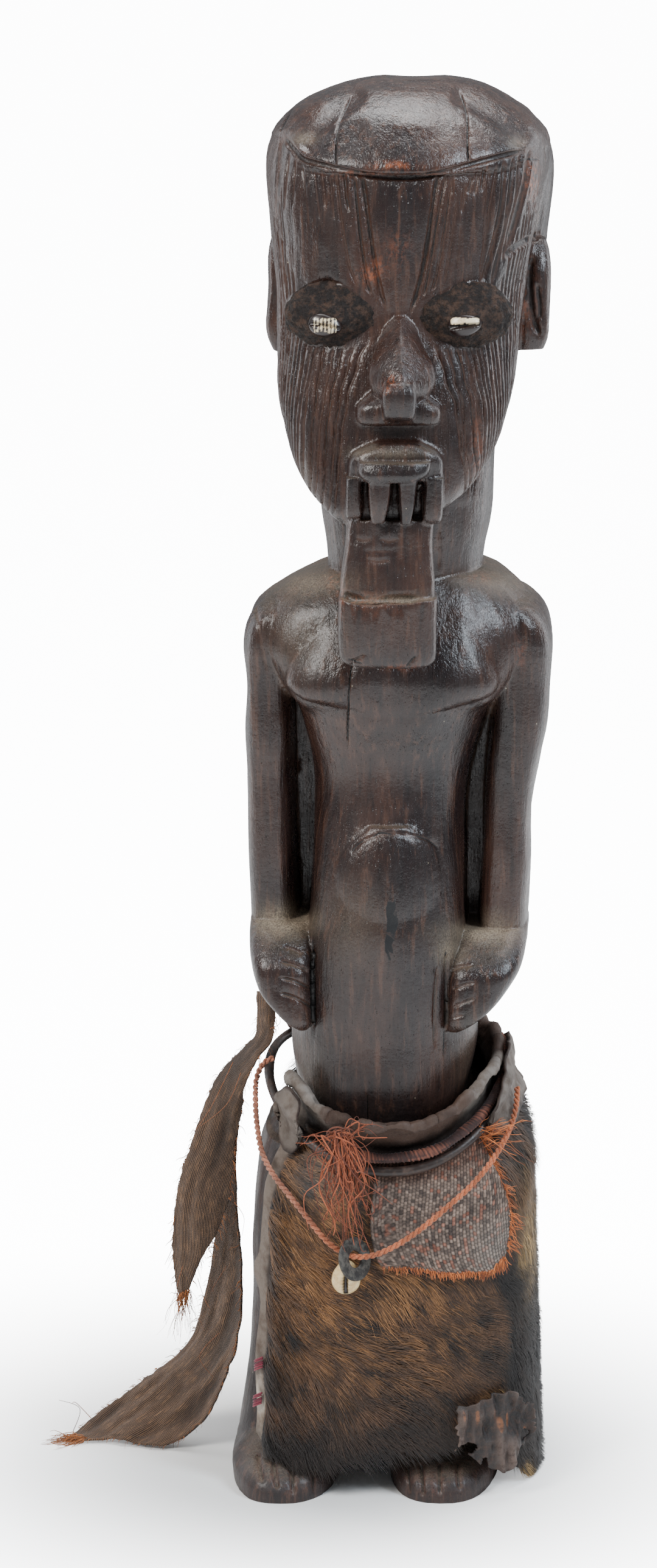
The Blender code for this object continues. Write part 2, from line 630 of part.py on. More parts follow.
def main():
    """Builds every piece."""
    for old in list(bpy.data.objects):
        bpy.data.objects.remove(old, do_unlink=True)
    figure = carve_figure()
    cut(figure, floor_cutter())
    eyes(figure, material("resin", (0.03, 0.022, 0.018), 0.8), material("ivory_shell", (0.72, 0.62, 0.44), 0.3))
    hide_skirt(material("hide", (0.06, 0.035, 0.018), 0.8))
    dried_skin(material("dried_skin", (0.10, 0.075, 0.06), 0.7))
    for name, height in (("hide_tie_upper", 67), ("hide_tie_lower", 48)):
        hide_tie(name, height, material("thread", (0.16, 0.03, 0.06), 0.7))
    waist_hoop(material("hoop", (0.03, 0.022, 0.02), 0.4))
    rope = material("rope", (0.22, 0.09, 0.04), 0.85)
    waist_rope(rope)
    fibre_tassel(rope)
    cloth = material("raffia", (0.16, 0.09, 0.045), 0.9)
    raffia_mat(cloth)
    raffia_strip_short(cloth)
    raffia_strip_long(cloth)
    pendant_cord(material("cord", (0.48, 0.17, 0.07), 0.7))
    pendant_disc(material("disc", (0.11, 0.12, 0.11), 0.45, 0.8))
    cowrie = shell("pendant_cowrie", COWRIE_WIDTH, COWRIE_LENGTH, COWRIE_DEPTH,
                   material("cowrie", (0.75, 0.65, 0.45), 0.3))
    cowrie.location = Vector((-21, -72, 124)) * STEP
    stand = bpy.data.objects.new("stand", None)
    bpy.context.collection.objects.link(stand)
    for made in list(bpy.data.objects):
        if made != stand:
            made.parent = stand
    stand.location = Vector((-MIDDLE_X, -MIDDLE_Y, -SOLE_STEP)) * STEP


main()
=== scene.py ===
import math

import bmesh
import bpy
import numpy as np
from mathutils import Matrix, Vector

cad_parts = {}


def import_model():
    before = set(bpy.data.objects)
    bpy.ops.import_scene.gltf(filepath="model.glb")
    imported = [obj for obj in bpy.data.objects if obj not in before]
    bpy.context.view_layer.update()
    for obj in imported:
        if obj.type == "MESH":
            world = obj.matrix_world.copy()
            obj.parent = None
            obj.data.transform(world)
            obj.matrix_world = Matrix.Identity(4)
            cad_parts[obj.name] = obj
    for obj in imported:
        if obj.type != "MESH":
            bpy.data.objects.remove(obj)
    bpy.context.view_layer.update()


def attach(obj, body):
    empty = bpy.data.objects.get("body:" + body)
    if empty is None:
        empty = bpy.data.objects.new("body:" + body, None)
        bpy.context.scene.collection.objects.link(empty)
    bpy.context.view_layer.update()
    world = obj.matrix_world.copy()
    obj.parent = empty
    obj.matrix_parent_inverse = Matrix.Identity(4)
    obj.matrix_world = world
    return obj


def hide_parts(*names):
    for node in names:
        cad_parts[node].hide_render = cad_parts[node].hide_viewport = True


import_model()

bl_info = {
    "name": "Wooden Figure",
    "version": (1, 0, 0),
    "blender": (4, 5, 0),
    "location": "View3D > Sidebar > Figure",
    "description": "Builds the surfaces of a carved figure with its hide, raffia, cord and shells",
    "category": "Object",
}

# Places are in steps of the carving, a millimetre each, and PLACE moves them into the frame.
STEP = 0.001
PLACE = np.array((41.9, 12.0, -5.0))
FLOOR = 5.0

# The camera: what it looks at, how far off, how far down it looks, and its focal length in pixels.
AIM = np.array((-29.75, 0.0, 354.4))
DISTANCE = 2275.0
TILT = math.radians(15)
PICTURE = (1080, 2576)
FOCAL = 7595.0


def linear(r, g, b):
    """A colour from 0 to 255 as the shader's values."""
    return tuple(((c / 255 + 0.055) / 1.055) ** 2.4 if c > 10 else c / 255 / 12.92 for c in (r, g, b))


def paint(r, g, b):
    """The same colour as an array, to be mixed by place."""
    return np.array(linear(r, g, b))


def length_setting(name, description, default):
    """A length that a user can change."""
    return bpy.props.FloatProperty(name=name, description=description, default=default, unit="LENGTH")


def count_setting(name, description, default):
    """A number that a user can change."""
    return bpy.props.IntProperty(name=name, description=description, default=default)


def colour_setting(name, description, r, g, b):
    """A colour that a user can change."""
    return bpy.props.FloatVectorProperty(name=name, description=description, subtype="COLOR", size=3,
                                         default=linear(r, g, b))


class FigureSizes(bpy.types.PropertyGroup):
    """Sizes of the carving's surface and of the soft pieces."""
    detail: length_setting("Carving detail", "Width of the wood's facets", 0.0011)
    wood_faces: count_setting("Wood faces", "Most triangles kept on the wood", 192000)
    cheek_pitch: length_setting("Cheek groove pitch", "From one cut to the next", 0.0036)
    fur_length: length_setting("Fur length", "Length of a hair of the hide", 0.013)
    fur_count: count_setting("Hairs", "Hairs on the hide", 125000)
    cord_diameter: length_setting("Cord", "Diameter of the twisted cord", 0.0030)
    mat_pitch: length_setting("Mat yarn", "Width of a yarn of the mat", 0.00175)


class FigureColours(bpy.types.PropertyGroup):
    """Main colours."""
    wood: colour_setting("Wood", "Dark wood", 31, 23, 23)
    worn: colour_setting("Worn wood", "Wood where the dark skin has gone", 150, 84, 52)
    # One colour for dust on ledges and for the painted sheen on the shoulders and belly.
    dust: colour_setting("Dust", "Dust on ledges", 150, 136, 116)
    cord: colour_setting("Cord", "Twisted cord", 190, 110, 72)


# Small tools for shaping in code

def soft(value):
    """A soft step from 0 to 1."""
    value = np.clip(value, 0, 1)
    return value * value * (3 - 2 * value)


def mix(a, b, share):
    """A value between a and b."""
    return a + (b - a) * share


def along(keys, value):
    """Reads (place, value) pairs at places, with soft steps between."""
    places, values = (np.array(column, dtype=float) for column in zip(*keys))
    value = np.asarray(value, dtype=float)
    i = np.clip(np.searchsorted(places, value) - 1, 0, len(places) - 2)
    share = soft((value - places[i]) / (places[i + 1] - places[i]))
    return values[i] + (values[i + 1] - values[i]) * share


def grain(points, wave, seed=0.0):
    """Smooth noise from -1 to 1 at points, with waves as long as wave."""
    p = np.asarray(points, dtype=float) / wave + seed * 17.17
    cell = np.floor(p).astype(np.int64)
    t = p - cell
    t = t * t * (3 - 2 * t)
    total = 0.0
    for corner in range(8):
        step = np.array([(corner >> k) & 1 for k in range(3)])
        key = (cell + step) @ np.array((73856093, 19349663, 83492791))
        key = (key ^ (key >> 13)) * 1274126177 & 0x7FFFFFFF
        key = (key ^ (key >> 11)) * 668265263 & 0x7FFFFFFF
        weight = np.prod(np.where(step == 1, t, 1 - t), axis=-1)
        total = total + (key / 0x3FFFFFFF - 1) * weight
    return total


def ripple(place, wave, seed):
    """Smooth noise from -1 to 1 along one value."""
    place = place / wave
    return grain(np.stack((place, place * 0, place * 0), -1), 1.0, seed)


def net(across, up):
    """Shares from 0 to 1 across and up a grid."""
    return np.linspace(0, 1, across + 1)[None, :], np.linspace(0, 1, up + 1)[:, None]


def chance(index, seed=0):
    """A fixed random value from 0 to 1 for each whole number."""
    key = (np.asarray(index).astype(np.int64) + 7919 * seed) * 2654435761 & 0x7FFFFFFF
    key = (key ^ (key >> 15)) * 2246822519 & 0x7FFFFFFF
    return (key ^ (key >> 13)) / 0x7FFFFFFF


def unit(vectors):
    """Vectors of length one."""
    return vectors / np.maximum(np.linalg.norm(vectors, axis=-1, keepdims=True), 1e-9)


def world(points):
    """From steps to metres in the frame."""
    return (np.asarray(points, dtype=float) + PLACE) * STEP


def camera_axes():
    """The camera's place in steps, and its right, up and forward directions."""
    back = np.array((0, -math.cos(TILT), math.sin(TILT)))
    return AIM + DISTANCE * back, np.array((1.0, 0, 0)), np.array((0, math.sin(TILT), math.cos(TILT))), -back


def picture(points):
    """Where points in steps show in the picture."""
    eye, right, up, forward = camera_axes()
    d = points - eye
    depth = d @ forward
    return PICTURE[0] / 2 + FOCAL * (d @ right) / depth, PICTURE[1] / 2 - FOCAL * (d @ up) / depth


def seen(px, py, y):
    """The point in steps that shows at a place of the picture and lies at depth y."""
    eye, right, up, forward = camera_axes()
    ray = forward + right * ((px - PICTURE[0] / 2) / FOCAL) - up * ((py - PICTURE[1] / 2) / FOCAL)
    return eye + ray * ((y - eye[1]) / ray[1])


def smooth_line(points, parts):
    """More points on a smooth curve through the given ones."""
    points = np.asarray(points, dtype=float)
    last = len(points) - 1
    result = []
    for i in range(last):
        p, q, r, s = (points[min(max(i + k, 0), last)] for k in (-1, 0, 1, 2))
        for k in range(parts):
            t = k / parts
            result.append(0.5 * (2 * q + (r - p) * t + (2 * p - 5 * q + 4 * r - s) * t * t
                                 + (3 * q - p - 3 * r + s) * t ** 3))
    result.append(points[last])
    return np.array(result)


def even_line(points, count):
    """The same line with its points evenly spaced."""
    steps = np.linalg.norm(np.diff(points, axis=0), axis=1)
    place = np.concatenate(([0], np.cumsum(steps)))
    wanted = np.linspace(0, place[-1], count)
    return np.stack([np.interp(wanted, place, points[:, k]) for k in range(points.shape[1])], axis=1)


def grid_normals(grid):
    """Outward directions on a grid, from its columns and rows."""
    across = np.gradient(grid, axis=1)
    upward = np.gradient(grid, axis=0)
    return unit(np.cross(across, upward))


# Making pieces

def only(piece):
    """Selects one piece alone and makes it active."""
    for other in bpy.context.selected_objects:
        other.select_set(False)
    piece.select_set(True)
    bpy.context.view_layer.objects.active = piece


def mesh_piece(name, points, faces, material, values=None, smooth=True):
    """A piece from points in steps and arrays of faces with three or four corners."""
    mesh = bpy.data.meshes.new(name)
    points = world(points)
    faces = [np.asarray(part) for part in faces if len(part)]
    sizes = np.concatenate([np.full(len(part), part.shape[1]) for part in faces])
    corners = np.concatenate([part.ravel() for part in faces])
    mesh.vertices.add(len(points))
    mesh.vertices.foreach_set("co", points.ravel())
    mesh.loops.add(len(corners))
    mesh.loops.foreach_set("vertex_index", corners.astype(np.int32))
    mesh.polygons.add(len(sizes))
    mesh.polygons.foreach_set("loop_start", np.concatenate(([0], np.cumsum(sizes)[:-1])).astype(np.int32))
    mesh.update(calc_edges=True)
    mesh.validate()
    for key, value in (values or {}).items():
        put_values(mesh, key, value)
    if smooth:
        mesh.shade_smooth()
    mesh.materials.append(material)
    piece = bpy.data.objects.new(name, mesh)
    bpy.context.collection.objects.link(piece)
    return piece


def put_values(mesh, key, value):
    """Stores a number or a colour on each point, and a pair on each corner as a UV map."""
    value = np.asarray(value, dtype=np.float32)
    if value.ndim == 1:
        mesh.attributes.new(key, "FLOAT", "POINT").data.foreach_set("value", value)
    elif value.shape[1] == 3:
        full = np.concatenate((value, np.ones((len(value), 1), np.float32)), axis=1)
        mesh.attributes.new(key, "FLOAT_COLOR", "POINT").data.foreach_set("color", full.ravel())
    else:
        index = np.empty(len(mesh.loops), np.int32)
        mesh.loops.foreach_get("vertex_index", index)
        mesh.uv_layers.new(name=key).data.foreach_set("uv", value[index].ravel())


def take_on(piece, name, nodes):
    """Names a finished piece, hangs it on the root body and lets it stand for its nodes."""
    piece.name = name
    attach(piece, "root")
    if nodes:
        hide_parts(*nodes)


def apply_modifier(piece, kind, **settings):
    """Adds one modifier and applies it."""
    only(piece)
    bpy.ops.object.modifier_add(type=kind)
    added = piece.modifiers[-1]
    for key, value in settings.items():
        setattr(added, key, value)
    bpy.ops.object.modifier_apply(modifier=added.name)


def triangles(piece):
    """How many triangles a mesh has."""
    sizes = np.empty(len(piece.data.polygons), np.int32)
    piece.data.polygons.foreach_get("loop_total", sizes)
    return int((sizes - 2).sum())


def grid_faces(rows, columns, start=0, keep=None):
    """Four-cornered faces of a grid, less those left out."""
    index = start + np.arange(rows * columns).reshape(rows, columns)
    faces = np.stack((index[:-1, :-1], index[:-1, 1:], index[1:, 1:], index[1:, :-1]), axis=-1)
    return faces[keep] if keep is not None else faces.reshape(-1, 4)


def cloth(name, grid, wall, material, values=None, keep=None, uv=None):
    """A closed sheet: its outer side on a grid, its inner side one wall behind, and its edges."""
    rows, columns = grid.shape[:2]
    inward = grid - grid_normals(grid) * wall
    if keep is None:
        keep = np.ones((rows - 1, columns - 1), bool)
    outer = grid_faces(rows, columns, 0, keep)
    inner = grid_faces(rows, columns, rows * columns, keep)[:, ::-1]
    edges = np.concatenate([outer[:, [k, (k + 1) % 4]] for k in range(4)])
    mark = edges[:, 0] * rows * columns + edges[:, 1]
    back = edges[:, 1] * rows * columns + edges[:, 0]
    rim = edges[~np.isin(mark, back)]
    rim = np.stack((rim[:, 1], rim[:, 0], rim[:, 0] + rows * columns, rim[:, 1] + rows * columns), axis=1)
    points = np.concatenate((grid.reshape(-1, 3), inward.reshape(-1, 3)))
    stored = {key: np.concatenate((value.reshape(rows * columns, -1),) * 2).squeeze()
              for key, value in (values or {}).items()}
    if uv is not None:
        stored["UVMap"] = np.concatenate((uv.reshape(-1, 2),) * 2)
    piece = mesh_piece(name, points, [outer, inner, rim], material, stored)
    tidy_loose(piece)
    return piece


def tidy_loose(piece):
    """Removes points that no face uses."""
    only(piece)
    bpy.ops.object.mode_set(mode="EDIT")
    bpy.ops.mesh.select_all(action="SELECT")
    bpy.ops.mesh.delete_loose()
    bpy.ops.object.mode_set(mode="OBJECT")


def fibres(name, lines, widths, material, colours, flat=0.5, sides=4, facing=(0, -1, 0)):
    """Closed tapered fibres along lines of points, (fibre, point, 3), with a width at each point."""
    count, length = lines.shape[:2]
    way = unit(np.gradient(lines, axis=1))
    facing = np.broadcast_to(np.asarray(facing, dtype=float), lines.shape)
    side = unit(np.cross(way, facing) + 1e-6)
    rise = np.cross(side, way)
    angle = 2 * np.pi * (np.arange(sides) + 0.5) / sides
    ring = (np.cos(angle)[:, None] * side[:, :, None] + flat * np.sin(angle)[:, None] * rise[:, :, None])
    points = lines[:, :, None] + ring * widths[:, :, None, None] / 2
    index = np.arange(count * length * sides).reshape(count, length, sides)
    nxt = np.roll(index, -1, axis=2)
    walls = np.stack((index[:, :-1], nxt[:, :-1], nxt[:, 1:], index[:, 1:]), axis=-1).reshape(-1, 4)
    ends = [index[:, 0, ::-1], index[:, -1]]
    if sides > 4:
        ends = [np.stack((end[:, 0:1].repeat(sides - 2, 1), end[:, 1:-1], end[:, 2:]), axis=-1).reshape(-1, 3)
                for end in ends]
    repeats = length * sides if colours.ndim == 2 else sides
    shade = np.repeat(colours.reshape(-1, 3), repeats, axis=0)
    return mesh_piece(name, points.reshape(-1, 3), [walls] + ends, material, {"shade": shade})


def hairs(name, roots, ways, normals, lengths, widths, lift, colours, material, parts=3, fall=0.25):
    """Narrow tapered hairs that rise from a surface and bend over along it."""
    count = len(roots)
    share = np.linspace(0, 1, parts + 1)[None, :, None]
    length = lengths[:, None, None]
    lift = lift[:, None, None]
    lines = (roots[:, None] + ways[:, None] * share * length * (1 - 0.12 * lift)
             + normals[:, None] * length * lift * (share - 0.62 * share ** 2))
    lines = lines - np.array((0, 0, 1.0)) * fall * length * share ** 2
    lines[..., 2] = np.maximum(lines[..., 2], FLOOR + 0.5)
    way = unit(np.gradient(lines, axis=1))
    side = unit(np.cross(way, np.broadcast_to(normals[:, None], lines.shape)))
    half = widths[:, None, None] / 2 * (1 - share[:, :-1] ** 2 * 0.75)
    left = lines[:, :-1] + side[:, :-1] * half
    right = lines[:, :-1] - side[:, :-1] * half
    points = np.concatenate((np.stack((left, right), axis=2).reshape(count, -1, 3), lines[:, -1:]), axis=1)
    each = points.shape[1]
    start = (np.arange(count) * each)[:, None]
    quads = np.concatenate([start + np.array([[2 * k + 1, 2 * k, 2 * k + 2, 2 * k + 3]])
                            for k in range(parts - 1)])
    tips = start + np.array([[2 * parts - 1, 2 * parts - 2, 2 * parts]])
    shade = np.repeat(colours, each, axis=0)
    level = np.concatenate((np.repeat(np.linspace(0, 1, parts + 1)[:-1], 2), [1.0]))
    shade = shade * (0.55 + 0.55 * np.tile(level, count))[:, None]
    return mesh_piece(name, points.reshape(-1, 3), [quads, tips], material, {"shade": shade})


# Finishes

class Finish:
    """A material under construction, with short ways to add its nodes."""

    def __init__(self, name, roughness=0.5, metallic=0.0):
        self.material = bpy.data.materials.new(name)
        self.material.use_nodes = True
        self.nodes = self.material.node_tree.nodes
        self.links = self.material.node_tree.links
        self.shader = self.nodes["Principled BSDF"]
        self.shader.inputs["Roughness"].default_value = roughness
        self.shader.inputs["Metallic"].default_value = metallic
        self.coords = self.nodes.new("ShaderNodeTexCoord")

    def feed(self, socket, value):
        """Links a socket or sets its value."""
        if isinstance(value, bpy.types.NodeSocket):
            self.links.new(value, socket)
        elif socket.type == "RGBA" and len(value) == 3:
            socket.default_value = (*value, 1)
        else:
            socket.default_value = value

    def add(self, kind, result, settings=None, **sockets):
        """Adds a node, sets it up, feeds its sockets and gives one result."""
        node = self.nodes.new("ShaderNode" + kind)
        for key, value in (settings or {}).items():
            setattr(node, key, value)
        for key, value in sockets.items():
            self.feed(node.inputs[key.replace("_", " ")], value)
        return node.outputs[result]

    def place(self, scale=(1, 1, 1), uv=False):
        """Object or UV coordinates, scaled."""
        return self.add("Mapping", "Vector", Scale=scale,
                        Vector=self.coords.outputs["UV" if uv else "Object"])

    def noise(self, where, scale, detail=3.0, rough=0.55, twist=0.0):
        """Noise from 0 to 1."""
        return self.add("TexNoise", "Fac", Vector=where, Scale=scale, Detail=detail, Roughness=rough,
                        Distortion=twist)

    def cells(self, where, scale):
        """Distance to the nearest cell point."""
        return self.add("TexVoronoi", "Distance", Vector=where, Scale=scale)

    def bands(self, where, scale, direction):
        """Bands from 0 to 1."""
        return self.add("TexWave", "Fac", {"bands_direction": direction}, Vector=where, Scale=scale,
                        Distortion=0.0, Detail_Scale=2.0)

    def span(self, value, low, high, to_low=0.0, to_high=1.0):
        """Stretches a range, softly."""
        return self.add("MapRange", "Result", {"interpolation_type": "SMOOTHSTEP"}, Value=value,
                        From_Min=low, From_Max=high, To_Min=to_low, To_Max=to_high)

    def times(self, a, b, kind="MULTIPLY"):
        """A product, or another sum."""
        node = self.nodes.new("ShaderNodeMath")
        node.operation = kind
        self.feed(node.inputs[0], a)
        self.feed(node.inputs[1], b)
        return node.outputs["Value"]

    def plus(self, a, b):
        """A sum."""
        return self.times(a, b, "ADD")

    def blend(self, share, a, b, kind="MIX"):
        """A colour between two."""
        node = self.nodes.new("ShaderNodeMix")
        node.data_type = "RGBA"
        node.blend_type = kind
        for number, value in ((0, share), (6, a), (7, b)):
            self.feed(node.inputs[number], value)
        return node.outputs[2]

    def stored(self, name, number=True):
        """A value kept on the mesh."""
        return self.add("Attribute", "Fac" if number else "Color", {"attribute_name": name})

    def bump(self, height, strength, distance):
        """Relief from a height."""
        relief = self.add("Bump", "Normal", Strength=strength, Distance=distance, Height=height)
        before = self.shader.inputs["Normal"]
        if before.is_linked:
            self.links.new(before.links[0].from_socket, relief.node.inputs["Normal"])
        self.links.new(relief, before)

    def done(self, colour, roughness, **sockets):
        """Sets the last sockets and gives the material."""
        self.feed(self.shader.inputs["Base Color"], colour)
        self.feed(self.shader.inputs["Roughness"], roughness)
        for key, value in sockets.items():
            self.shader.inputs[key.replace("_", " ")].default_value = value
        return self.material


def wood_finish(colours):
    """Dark oiled wood: grained, glossy where handled, brown in the cuts and dusty on ledges, with painted
    sheen in the dust colour on the shoulders and belly, and painted shade at the bottom of the cuts, in
    creases and in cracks.
    """
    f = Finish("dark_wood")
    long_way = f.place((1, 1, 0.09))
    streak = f.noise(long_way, 330, 4, 0.65)
    broad = f.noise(f.place((1, 1, 0.35)), 26, 4, 0.6)
    fine = f.noise(long_way, 1500, 2, 0.5)
    mottle = f.noise(f.place(), 85, 5, 0.7)
    grit = f.noise(f.place(), 620, 3, 0.65)
    colour = f.blend(f.span(broad, 0.36, 0.68), tuple(colours.wood), linear(56, 38, 32))
    colour = f.blend(f.times(f.span(streak, 0.50, 0.72), 0.70), colour, linear(80, 56, 45))
    colour = f.blend(f.times(f.span(streak, 0.48, 0.28), 0.6), colour, linear(17, 14, 15))
    # The cuts are warm brown, and painted shade darkens their bottoms and the creases stored with them.
    cuts = f.times(f.stored("cut"), f.span(mottle, 0.3, 0.6, 0.45, 1.0))
    colour = f.blend(f.times(f.span(cuts, 0.05, 0.45), 0.55), colour, linear(74, 50, 39))
    colour = f.blend(f.times(f.span(cuts, 0.5, 0.85), 0.85), colour, linear(22, 15, 13))
    worn = f.times(f.stored("worn"), f.span(f.noise(f.place((1, 1, 0.6)), 420, 4, 0.7), 0.40, 0.66))
    colour = f.blend(worn, colour, tuple(colours.worn))
    pits = f.span(f.cells(f.place((1, 1, 0.4)), 520), 0.07, 0.20, 1.0, 0.0)
    colour = f.blend(f.times(pits, 0.45), colour, linear(16, 12, 12))
    # Dust on ledges and upward faces, and painted sheen on the shoulders and belly, in the one dust colour.
    dust = f.times(f.stored("dust"), f.span(f.noise(f.place(), 1300, 4, 0.75), 0.34, 0.66, 0.25, 1.0))
    colour = f.blend(dust, colour, tuple(colours.dust))
    fleck = f.span(f.cells(f.place(), 75), 0.024, 0.034, 1.0, 0.0)
    colour = f.blend(f.times(fleck, 0.6), colour, linear(172, 160, 138))
    # Painted shade: the cracks are coloured near black.
    colour = f.blend(f.span(f.stored("crack"), 0.15, 0.6), colour, (0.003, 0.002, 0.002))
    wet = f.span(f.plus(f.stored("wet"), f.times(f.noise(f.place(), 210, 3), 0.5)), 0.50, 0.60)
    colour = f.blend(wet, colour, (0.004, 0.004, 0.005))
    rough = f.plus(f.span(mottle, 0.3, 0.7, 0.22, 0.36), f.times(dust, 0.4))
    rough = f.plus(rough, f.times(wet, 0.5))
    rough = f.plus(rough, f.times(cuts, 0.22))
    rough = f.plus(rough, f.times(f.stored("dry"), 0.36))
    f.bump(streak, 0.6, 0.0010)
    f.bump(fine, 0.35, 0.0004)
    f.bump(pits, 0.5, -0.0004)
    f.bump(grit, 0.30, 0.0006)
    f.bump(mottle, 0.45, 0.0014)
    return f.done(colour, rough, Specular_IOR_Level=0.5, Coat_Weight=0.12, Coat_Roughness=0.22)


def fibre_finish(name, roughness=0.75, sheen=0.15):
    """Dry fibre or hair in the colours kept on the mesh."""
    f = Finish(name)
    shade = f.stored("shade", False)
    spot = f.noise(f.place(), 420, 3, 0.6)
    colour = f.blend(f.times(f.span(spot, 0.45, 0.75), 0.35), shade, linear(60, 45, 35), "MULTIPLY")
    return f.done(colour, roughness, Sheen_Weight=sheen)


def hide_finish():
    """Old grey-brown leather, darker and hairy where the fur is on."""
    f = Finish("hide_leather")
    shade = f.stored("shade", False)
    blotch = f.noise(f.place(), 120, 5, 0.65)
    colour = f.blend(f.times(f.span(blotch, 0.4, 0.7), 0.6), shade, linear(150, 120, 92), "MULTIPLY")
    wrinkle = f.noise(f.place(), 420, 4, 0.7, 0.6)
    f.bump(blotch, 0.5, 0.0012)
    f.bump(wrinkle, 0.5, 0.0006)
    return f.done(colour, f.span(blotch, 0.3, 0.7, 0.55, 0.8))


def woven_finish(name, pitch, rise, warm, dark, light):
    """Fine woven raffia in UV millimetres: ribs along V, crossed by finer yarns, with painted shade between
    ribs and yarns and in the folds' hollows.
    """
    f = Finish(name)
    uv = f.place((1 / pitch, 1 / rise, 1), uv=True)
    ribs = f.bands(uv, 0.5, "X")
    cross = f.bands(uv, 0.5, "Y")
    blotch = f.noise(f.place(), 90, 4, 0.6)
    thread = f.noise(f.place((2.2 / pitch, 0.12 / rise, 1), uv=True), 1.0, 2, 0.6)
    # Painted shade: dark between the ribs and between the crossing yarns.
    colour = f.blend(f.span(ribs, 0.25, 0.8), dark, warm)
    colour = f.blend(f.times(f.span(thread, 0.5, 0.72), 0.75), colour, light)
    colour = f.blend(f.times(f.span(cross, 0.55, 0.1), 0.55), colour, dark)
    colour = f.blend(f.times(f.span(blotch, 0.45, 0.75), 0.5), colour, linear(66, 52, 44))
    # Painted shade in the hollows of the folds.
    colour = f.blend(f.times(f.stored("fold"), 0.75), colour, linear(30, 22, 18))
    f.bump(f.plus(f.times(ribs, 0.7), f.times(cross, 0.5)), 0.8, 0.0006)
    f.bump(thread, 0.3, 0.0003)
    return f.done(colour, 0.88, Sheen_Weight=0.1)


# The carved block, in rows of (height, left, right, front, back) as in the solid

TURN = 0.075
HEAD = [
    ([(500, -19, 20, -78, -50), (506, -27, 30, -81, -42), (513, -34, 39, -81, -34),
      (522, -40, 46.5, -80, -22), (533, -45, 53, -79, -6), (554, -50.5, 60, -76, 20),
      (575, -52, 62, -72, 42), (592, -53, 63.5, -67, 50), (612, -54.5, 66, -68, 56),
      (640, -56.5, 71, -69, 60), (660, -58.5, 75, -67, 62), (674, -56, 73, -61, 61),
      (686, -45, 61, -50, 52), (694, -25, 45, -34, 38), (697, -8, 28, -14, 16)], 2.5, 48, True),
    ([(663.5, -50, 68, -69.5, 30), (667, -54, 72, -69, 40), (676, -54, 72, -63, 50),
      (687, -44, 61, -52, 50), (696, -23, 44, -35, 36), (699.5, -6, 27, -14, 16)], 2.3, 48, True),
    ([(619, -58.5, 74, -6, 63), (640, -59.5, 76, -12, 65), (658, -60, 77, -14, 66),
      (670, -58, 74, -10, 64), (680, -51, 66, -2, 58), (688, -40, 54, 8, 48)], 2.6, 40, True),
    ([(430, -27, 40, -24, 44), (456, -29.5, 44, -28, 46), (475, -31, 46.5, -30, 46),
      (492, -33, 48.7, -32, 47), (540, -37, 52, -34, 50), (580, -36, 50, -30, 44)], 2.2, 40, True),
    ([(571, -56, -50, -8, 6), (580, -59, -50, -10, 10), (598, -59, -50, -10, 16),
      (614, -59, -50, -8, 18), (624, -57, -50, -2, 14)], 3, 20, False),
    ([(571, 60, 73.5, -8, 6), (580, 60, 76.5, -10, 10), (598, 60, 76.5, -10, 16),
      (614, 60, 76.5, -8, 18), (624, 60, 74.5, -2, 14)], 3, 20, False),
]
FACE = [
    ([(548.5, -15, 20, -84, -62), (550.5, -16.8, 22.2, -88, -62), (556.5, -16.6, 22, -88.5, -62),
      (560, -13.5, 18, -87, -62), (564, -9, 14, -81, -62)], 5, 32, False),
    ([(559, -7, 15, -92, -64), (564, -10, 18, -96, -64), (570, -11, 19.5, -96.5, -64),
      (577, -10, 18, -92, -64), (585, -7, 14, -84, -62), (591, -4, 11, -77, -60),
      (597, -1, 8, -70, -58)], 1.25, 36, False),
    ([(552.5, -4, 9.5, -91, -66), (555.5, -4.5, 10, -97, -66), (566, -5, 10.5, -99.5, -66),
      (571, -3, 9, -97, -66)], 6, 28, False),
    ([(523, -21, 24, -88, -62), (532, -20.5, 24, -90, -62), (537, -16, 20, -90, -62),
      (541, -6, 12, -88, -62)], 5, 32, False),
    ([(524, -13, 13, -97, -70), (528, -16, 17, -99, -70), (533, -16, 18, -97, -70)], 4, 24, False),
    ([(505, -21, -14.5, -84, -62), (509, -22, -14, -88, -62), (525, -22, -14, -89, -62)], 5, 20, False),
    ([(502, 14.5, 22, -84, -62), (507, 13.5, 24, -88, -62), (525, 14, 24.5, -89, -62)], 5, 20, False),
    ([(504, -9.5, -3.7, -92, -72), (514, -10.7, -1.4, -96, -72), (526, -11.2, 0.2, -96, -72)], 6, 20, False),
    ([(503, 3.9, 8.7, -92, -72), (514, 2.8, 10.8, -96, -72), (526, 2.0, 12.2, -96, -72)], 6, 20, False),
    ([(434, -18, 14, -86, -70), (437, -24, 20, -89, -68), (449, -25.2, 21.2, -91, -66),
      (467, -25, 21, -92, -64)], 5, 32, False),
    ([(462, -24.4, 20, -88, -64), (474, -24, 19.7, -87, -60), (490, -21.5, 19.3, -86, -54),
      (504, -20.5, 20, -85, -50)], 5, 32, False),
]
